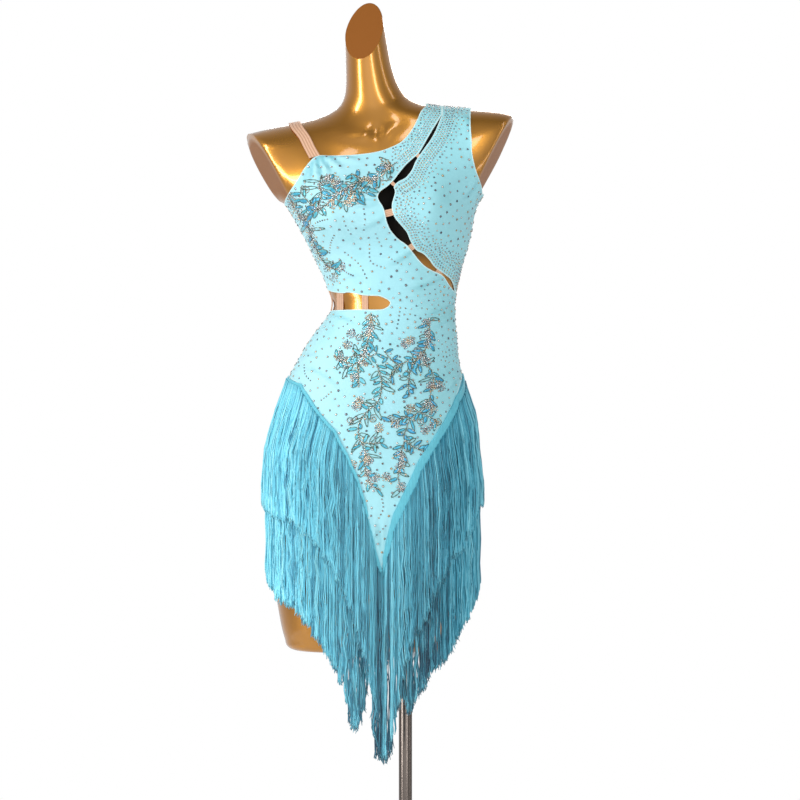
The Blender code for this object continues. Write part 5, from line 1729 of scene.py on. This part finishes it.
def makeStrands(name, seam, ends, hang, node, rng):
    turns, perMetre = evenTurns(ends, fringe["lockPitch"])
    share = np.array(fringe["shares"])
    locks, each, count = len(turns), fringe["strandsInLock"], len(share)
    total = locks * each
    lock = np.repeat(np.arange(locks), each)
    lockPhase = rng.uniform(0.0, 2.0 * math.pi, locks)[lock][:, None]
    lockWave = (rng.normal(0.0, 1.0, locks) * fringe["wave"])[lock][:, None]
    lockOut = rng.uniform(0.0, 1.0, locks)[lock][:, None]
    lockTone = rng.uniform(0.0, fringe["lockTone"], locks)
    lockTone = (lockTone + fringe["nextTone"] * (np.arange(locks) % 2))[lock]
    lockEnd = rng.normal(0.0, fringe["lockRagged"], locks)[lock]
    lockLean = rng.normal(0.0, fringe["lean"], locks)[lock][:, None]
    angle = rng.uniform(0.0, 2.0 * math.pi, total)
    radius = np.sqrt(rng.uniform(0.0, 1.0, total))
    sideways = radius * np.cos(angle) * fringe["spread"] / 2.0
    deep = radius * np.sin(angle) * 0.5 + 0.5
    turn = turns[lock] + sideways * perMetre * fringe["rootSpread"]
    root = tapeLevels(seam, turn)[1] + fringe["rootUp"]
    end = np.interp(turn, *ends) + lockEnd + rng.normal(0.0, fringe["strandRagged"], total)
    end = np.minimum(end, root - fringe["shortest"])
    level = root[:, None] + (end - root)[:, None] * share[None, :]
    body = ease(share * fringe["settle"])[None, :]
    opened = fringe["rootShare"] + (1.0 - fringe["rootShare"]) * body
    phase = lockPhase + (level - root[:, None]) * 2.0 * math.pi / fringe["waveLength"]
    aside = (sideways[:, None] * (opened + fringe["tipSpread"] * share[None, :])
             + lockWave * np.sin(phase) * body + lockLean * share[None, :])
    ripple = rng.uniform(0.0, 2.0 * math.pi, total)[:, None]
    ripple = ripple + share[None, :] * rng.uniform(*fringe["ripples"], total)[:, None]
    aside = aside + np.sin(ripple) * fringe["strandWave"] * body
    swollen, curled, last = fringe["tips"]
    curl = rng.normal(0.0, fringe["tipCurl"], (total, count)) * (share > curled)
    aside = aside + curl * np.where(share > last, 1.0, 0.5)
    slow, billow = fringe["billow"]
    thickness = fringe["rootDepth"] + (1.0 - fringe["rootDepth"]) * body
    out = (tape["out"] + (hang - tape["out"]) * opened + deep[:, None] * fringe["depth"] * thickness
           + lockOut * fringe["lockOut"] * body + np.cos(phase * slow) * billow * body)
    points, tangent, normal = hanging(turn[:, None], level, root[:, None], out, aside)
    swell = np.where(share > swollen, fringe["tipSwell"], 1.0)
    swell = np.where(share > last, fringe["tipThin"], swell) * (1.0 + fringe["strandGrowth"] * share)
    thick = fringe["strandRadius"] * swell[None, :, None]
    rings = [points + (tangent * math.cos(a) + normal * math.sin(a)) * thick
             for a in np.radians(fringe["corners"])]
    grid = np.stack(rings, axis=2).reshape(total, count * 3, 3)
    sides = []
    for i in range(0, (count - 1) * 3, 3):
        for k in range(3):
            m = (k + 1) % 3
            sides += [(i + k, i + m, i + 3 + m), (i + k, i + 3 + m, i + 3 + k)]
    sides += endCaps(0, count * 3, 3)
    obj = fastMesh(name, grid.reshape(-1, 3), copies(count * 3, sides, total))
    ofLock, ofStrand = fringe["toneMix"]
    toneAndShade = ofLock * lockTone + ofStrand * rng.uniform(0.0, 1.0, total)
    inner, outer = fringe["depthShade"]
    middle, edge = fringe["lockEdgeShade"]
    # painted shade: strands nearer the body and at the edges of a lock are darker
    toneAndShade = toneAndShade * (inner + outer * deep) * (middle - edge * (radius * np.cos(angle)) ** 2)
    pointValues(obj, "toneAndShade", np.repeat(toneAndShade, count * 3))
    pointValues(obj, "along", np.tile(np.repeat(share, 3), total))
    obj.data.shade_smooth()
    dress(obj, materials["fringe"], "teal_fringe", node)
    return total


def makeTape(name, seam, ends):
    turns = evenTurns(ends, tape["stitch"])[0]
    top, bottom = tapeLevels(seam, turns)
    raised = np.where(np.arange(len(turns)) % 2 == 0, tape["stitchRidge"], 0.0)
    rows = []
    for height, out in ((top, 0.0), (bottom, 0.0), (bottom, 1.0),
                        ((top + bottom) / 2.0, tape["bulge"]), (top, 1.0)):
        place = placeAt(height)
        reach = tape["out"] + out * tape["thickness"] + raised * (out > 0.5)
        rows.append(bodyPoints(place, turns) + outward(place, turns) * reach[:, None])
    obj = bandObject(name, np.stack(rows, axis=1))
    return dress(obj, materials["tape"], "teal_fringe")


def makeFringes():
    rng = np.random.default_rng(fringe["seed"])
    tiers = {"Upper": (0.0, fringe["upperHang"]), "Lower": (cloth["tierDrop"], tape["out"])}
    total = 0
    for (face, side), quarter in quarters.items():
        back = face == "Back"
        for tier, (drop, hang) in tiers.items():
            seam = lineByTurn(quarter["vee"], back, drop)
            ends = lineByTurn(quarter[tier], back, level=fringe["hipLevel"])
            place = tier + face + side
            node = "_".join(("fringe", tier, face, side)).lower()
            total += makeStrands("fringe" + place, seam, ends, hang, node, rng)
            makeTape("tape" + place, seam, ends)
    return total


print("fringe:", makeFringes(), "strands")


# The rectangle that each panel is cut from, and its area as cut: the jersey is cut about a tenth
# small all over, and stretches over the form.
sheets = {
    "bodiceFront": {"flat": (0.340, 0.740), "area": 0.1260, "tier": "UpperFront"},
    "shoulderPanel": {"flat": (0.170, 0.310), "area": 0.0370},
    "bodiceBack": {"flat": (0.380, 0.620), "area": 0.1450, "tier": "UpperBack"},
    "skirtFront": {"flat": (0.380, 0.400), "area": 0.0478, "tier": "LowerFront"},
    "skirtBack": {"flat": (0.380, 0.300), "area": 0.0480, "tier": "LowerBack"},
}


def declareCloth():
    for name, sheet in sheets.items():
        sewn = [bpy.data.objects[kind + sheet["tier"] + side] for side in ("Left", "Right")
                for kind in ("tape", "fringe") if "tier" in sheet]
        if name in stonePieces:
            sewn += [stonePieces[name], bpy.data.objects[name + "Binding"]]
        if name == "bodiceFront":
            sewn += trims + elastics[1:]
    return len(sheets) + 1


print("cloth declared:", declareCloth(), "sheets")


shot = {"place": (-0.009, -4.2, 1.05), "target": (-0.009, 0.0, 0.9417), "lens": 114.58,
        "sensor": 36.0, "clip": (0.1, 60.0)}
floorSize = {"radius": 1.35, "sides": 128}
lights = [
    # name, place, target, size, watts
    ("keyLeft", (-3.2, -1.8, 2.3), (-0.03, 0.0, 1.6), (0.9, 5.4), 96.0),
    ("keyEdge", (-3.1, -1.74, 2.3), (-0.03, 0.0, 1.5), (0.16, 6.0), 24.0),
    ("stripRight", (3.3, -0.3, 2.0), (-0.03, 0.0, 1.5), (0.40, 5.6), 15.0),
    ("frontRight", (2.0, -3.8, 2.1), (-0.03, 0.0, 1.6), (0.75, 5.0), 54.0),
    ("above", (0.02, -1.6, 4.3), (-0.03, 0.0, 1.2), (0.4, 0.9), 5.0),
    ("behind", (0.4, 3.4, 2.4), (0.0, 0.0, 1.0), (1.8, 1.6), 40.0),
]
room = {"base": 0.30, "front": 0.34, "glow": 0.52, "glowPower": 6.0, "back": 0.36, "left": 0.08,
        "up": -0.20, "least": 0.10, "colour": (0.97, 0.98, 1.0, 1.0)}


def aimed(obj, place, target):
    obj.location = place
    obj.rotation_euler = (Vector(target) - Vector(place)).to_track_quat("-Z", "Y").to_euler()


def makeStage():
    deselectAll()
    bpy.ops.mesh.primitive_circle_add(vertices=floorSize["sides"], radius=floorSize["radius"],
                                      fill_type="NGON")
    floor = bpy.context.object
    floor.name = "floor"
    finish = Finish("paleFloor", Roughness=0.85)
    finish.varies("Base Color", finish.mix(finish.noise(grains["floor"]), "white", "floor"))
    floor.data.materials.append(finish.material)
    for name, place, target, size, watts in lights:
        data = bpy.data.lights.new(name, "AREA")
        data.shape = "RECTANGLE"
        data.size, data.size_y = size
        data.energy = watts
        aimed(linked(name, data), place, target)
    camera = linked("camera", bpy.data.cameras.new("camera"))
    camera.data.lens = shot["lens"]
    camera.data.sensor_width = shot["sensor"]
    camera.data.clip_start, camera.data.clip_end = shot["clip"]
    aimed(camera, shot["place"], shot["target"])
    bpy.context.scene.camera = camera
    # white behind the object, and a softer room for light and reflections
    world = bpy.data.worlds.new("studio")
    bpy.context.scene.world = world
    world.use_nodes = True
    nodes, links = world.node_tree.nodes, world.node_tree.links
    studio = nodes["Background"]
    studio.inputs["Color"].default_value = room["colour"]
    way = nodes.new("ShaderNodeSeparateXYZ")
    links.new(nodes.new("ShaderNodeTexCoord").outputs["Generated"], way.inputs[0])
    x, y, z = (Sock(world.node_tree, output) for output in way.outputs)
    strength = room["base"] - x * room["left"] + z * room["up"]
    strength = strength + y.maths("MAXIMUM", 0.0) * room["back"]
    ahead = (y * -1.0).maths("MAXIMUM", 0.0)
    strength = strength + ahead * room["front"]
    strength = strength + ahead.maths("POWER", room["glowPower"]) * room["glow"]
    links.new(strength.maths("MAXIMUM", room["least"]).socket, studio.inputs["Strength"])
    white = nodes.new("ShaderNodeBackground")
    white.inputs["Color"].default_value = (1.0, 1.0, 1.0, 1.0)
    ray = nodes.new("ShaderNodeLightPath")
    mixed = nodes.new("ShaderNodeMixShader")
    links.new(ray.outputs["Is Camera Ray"], mixed.inputs["Fac"])
    links.new(studio.outputs[0], mixed.inputs[1])
    links.new(white.outputs[0], mixed.inputs[2])
    links.new(mixed.outputs[0], nodes["World Output"].inputs["Surface"])
    bpy.context.scene.view_settings.view_transform = "Standard"


makeStage()
print("stage: floor,", len(lights), "lights and camera")
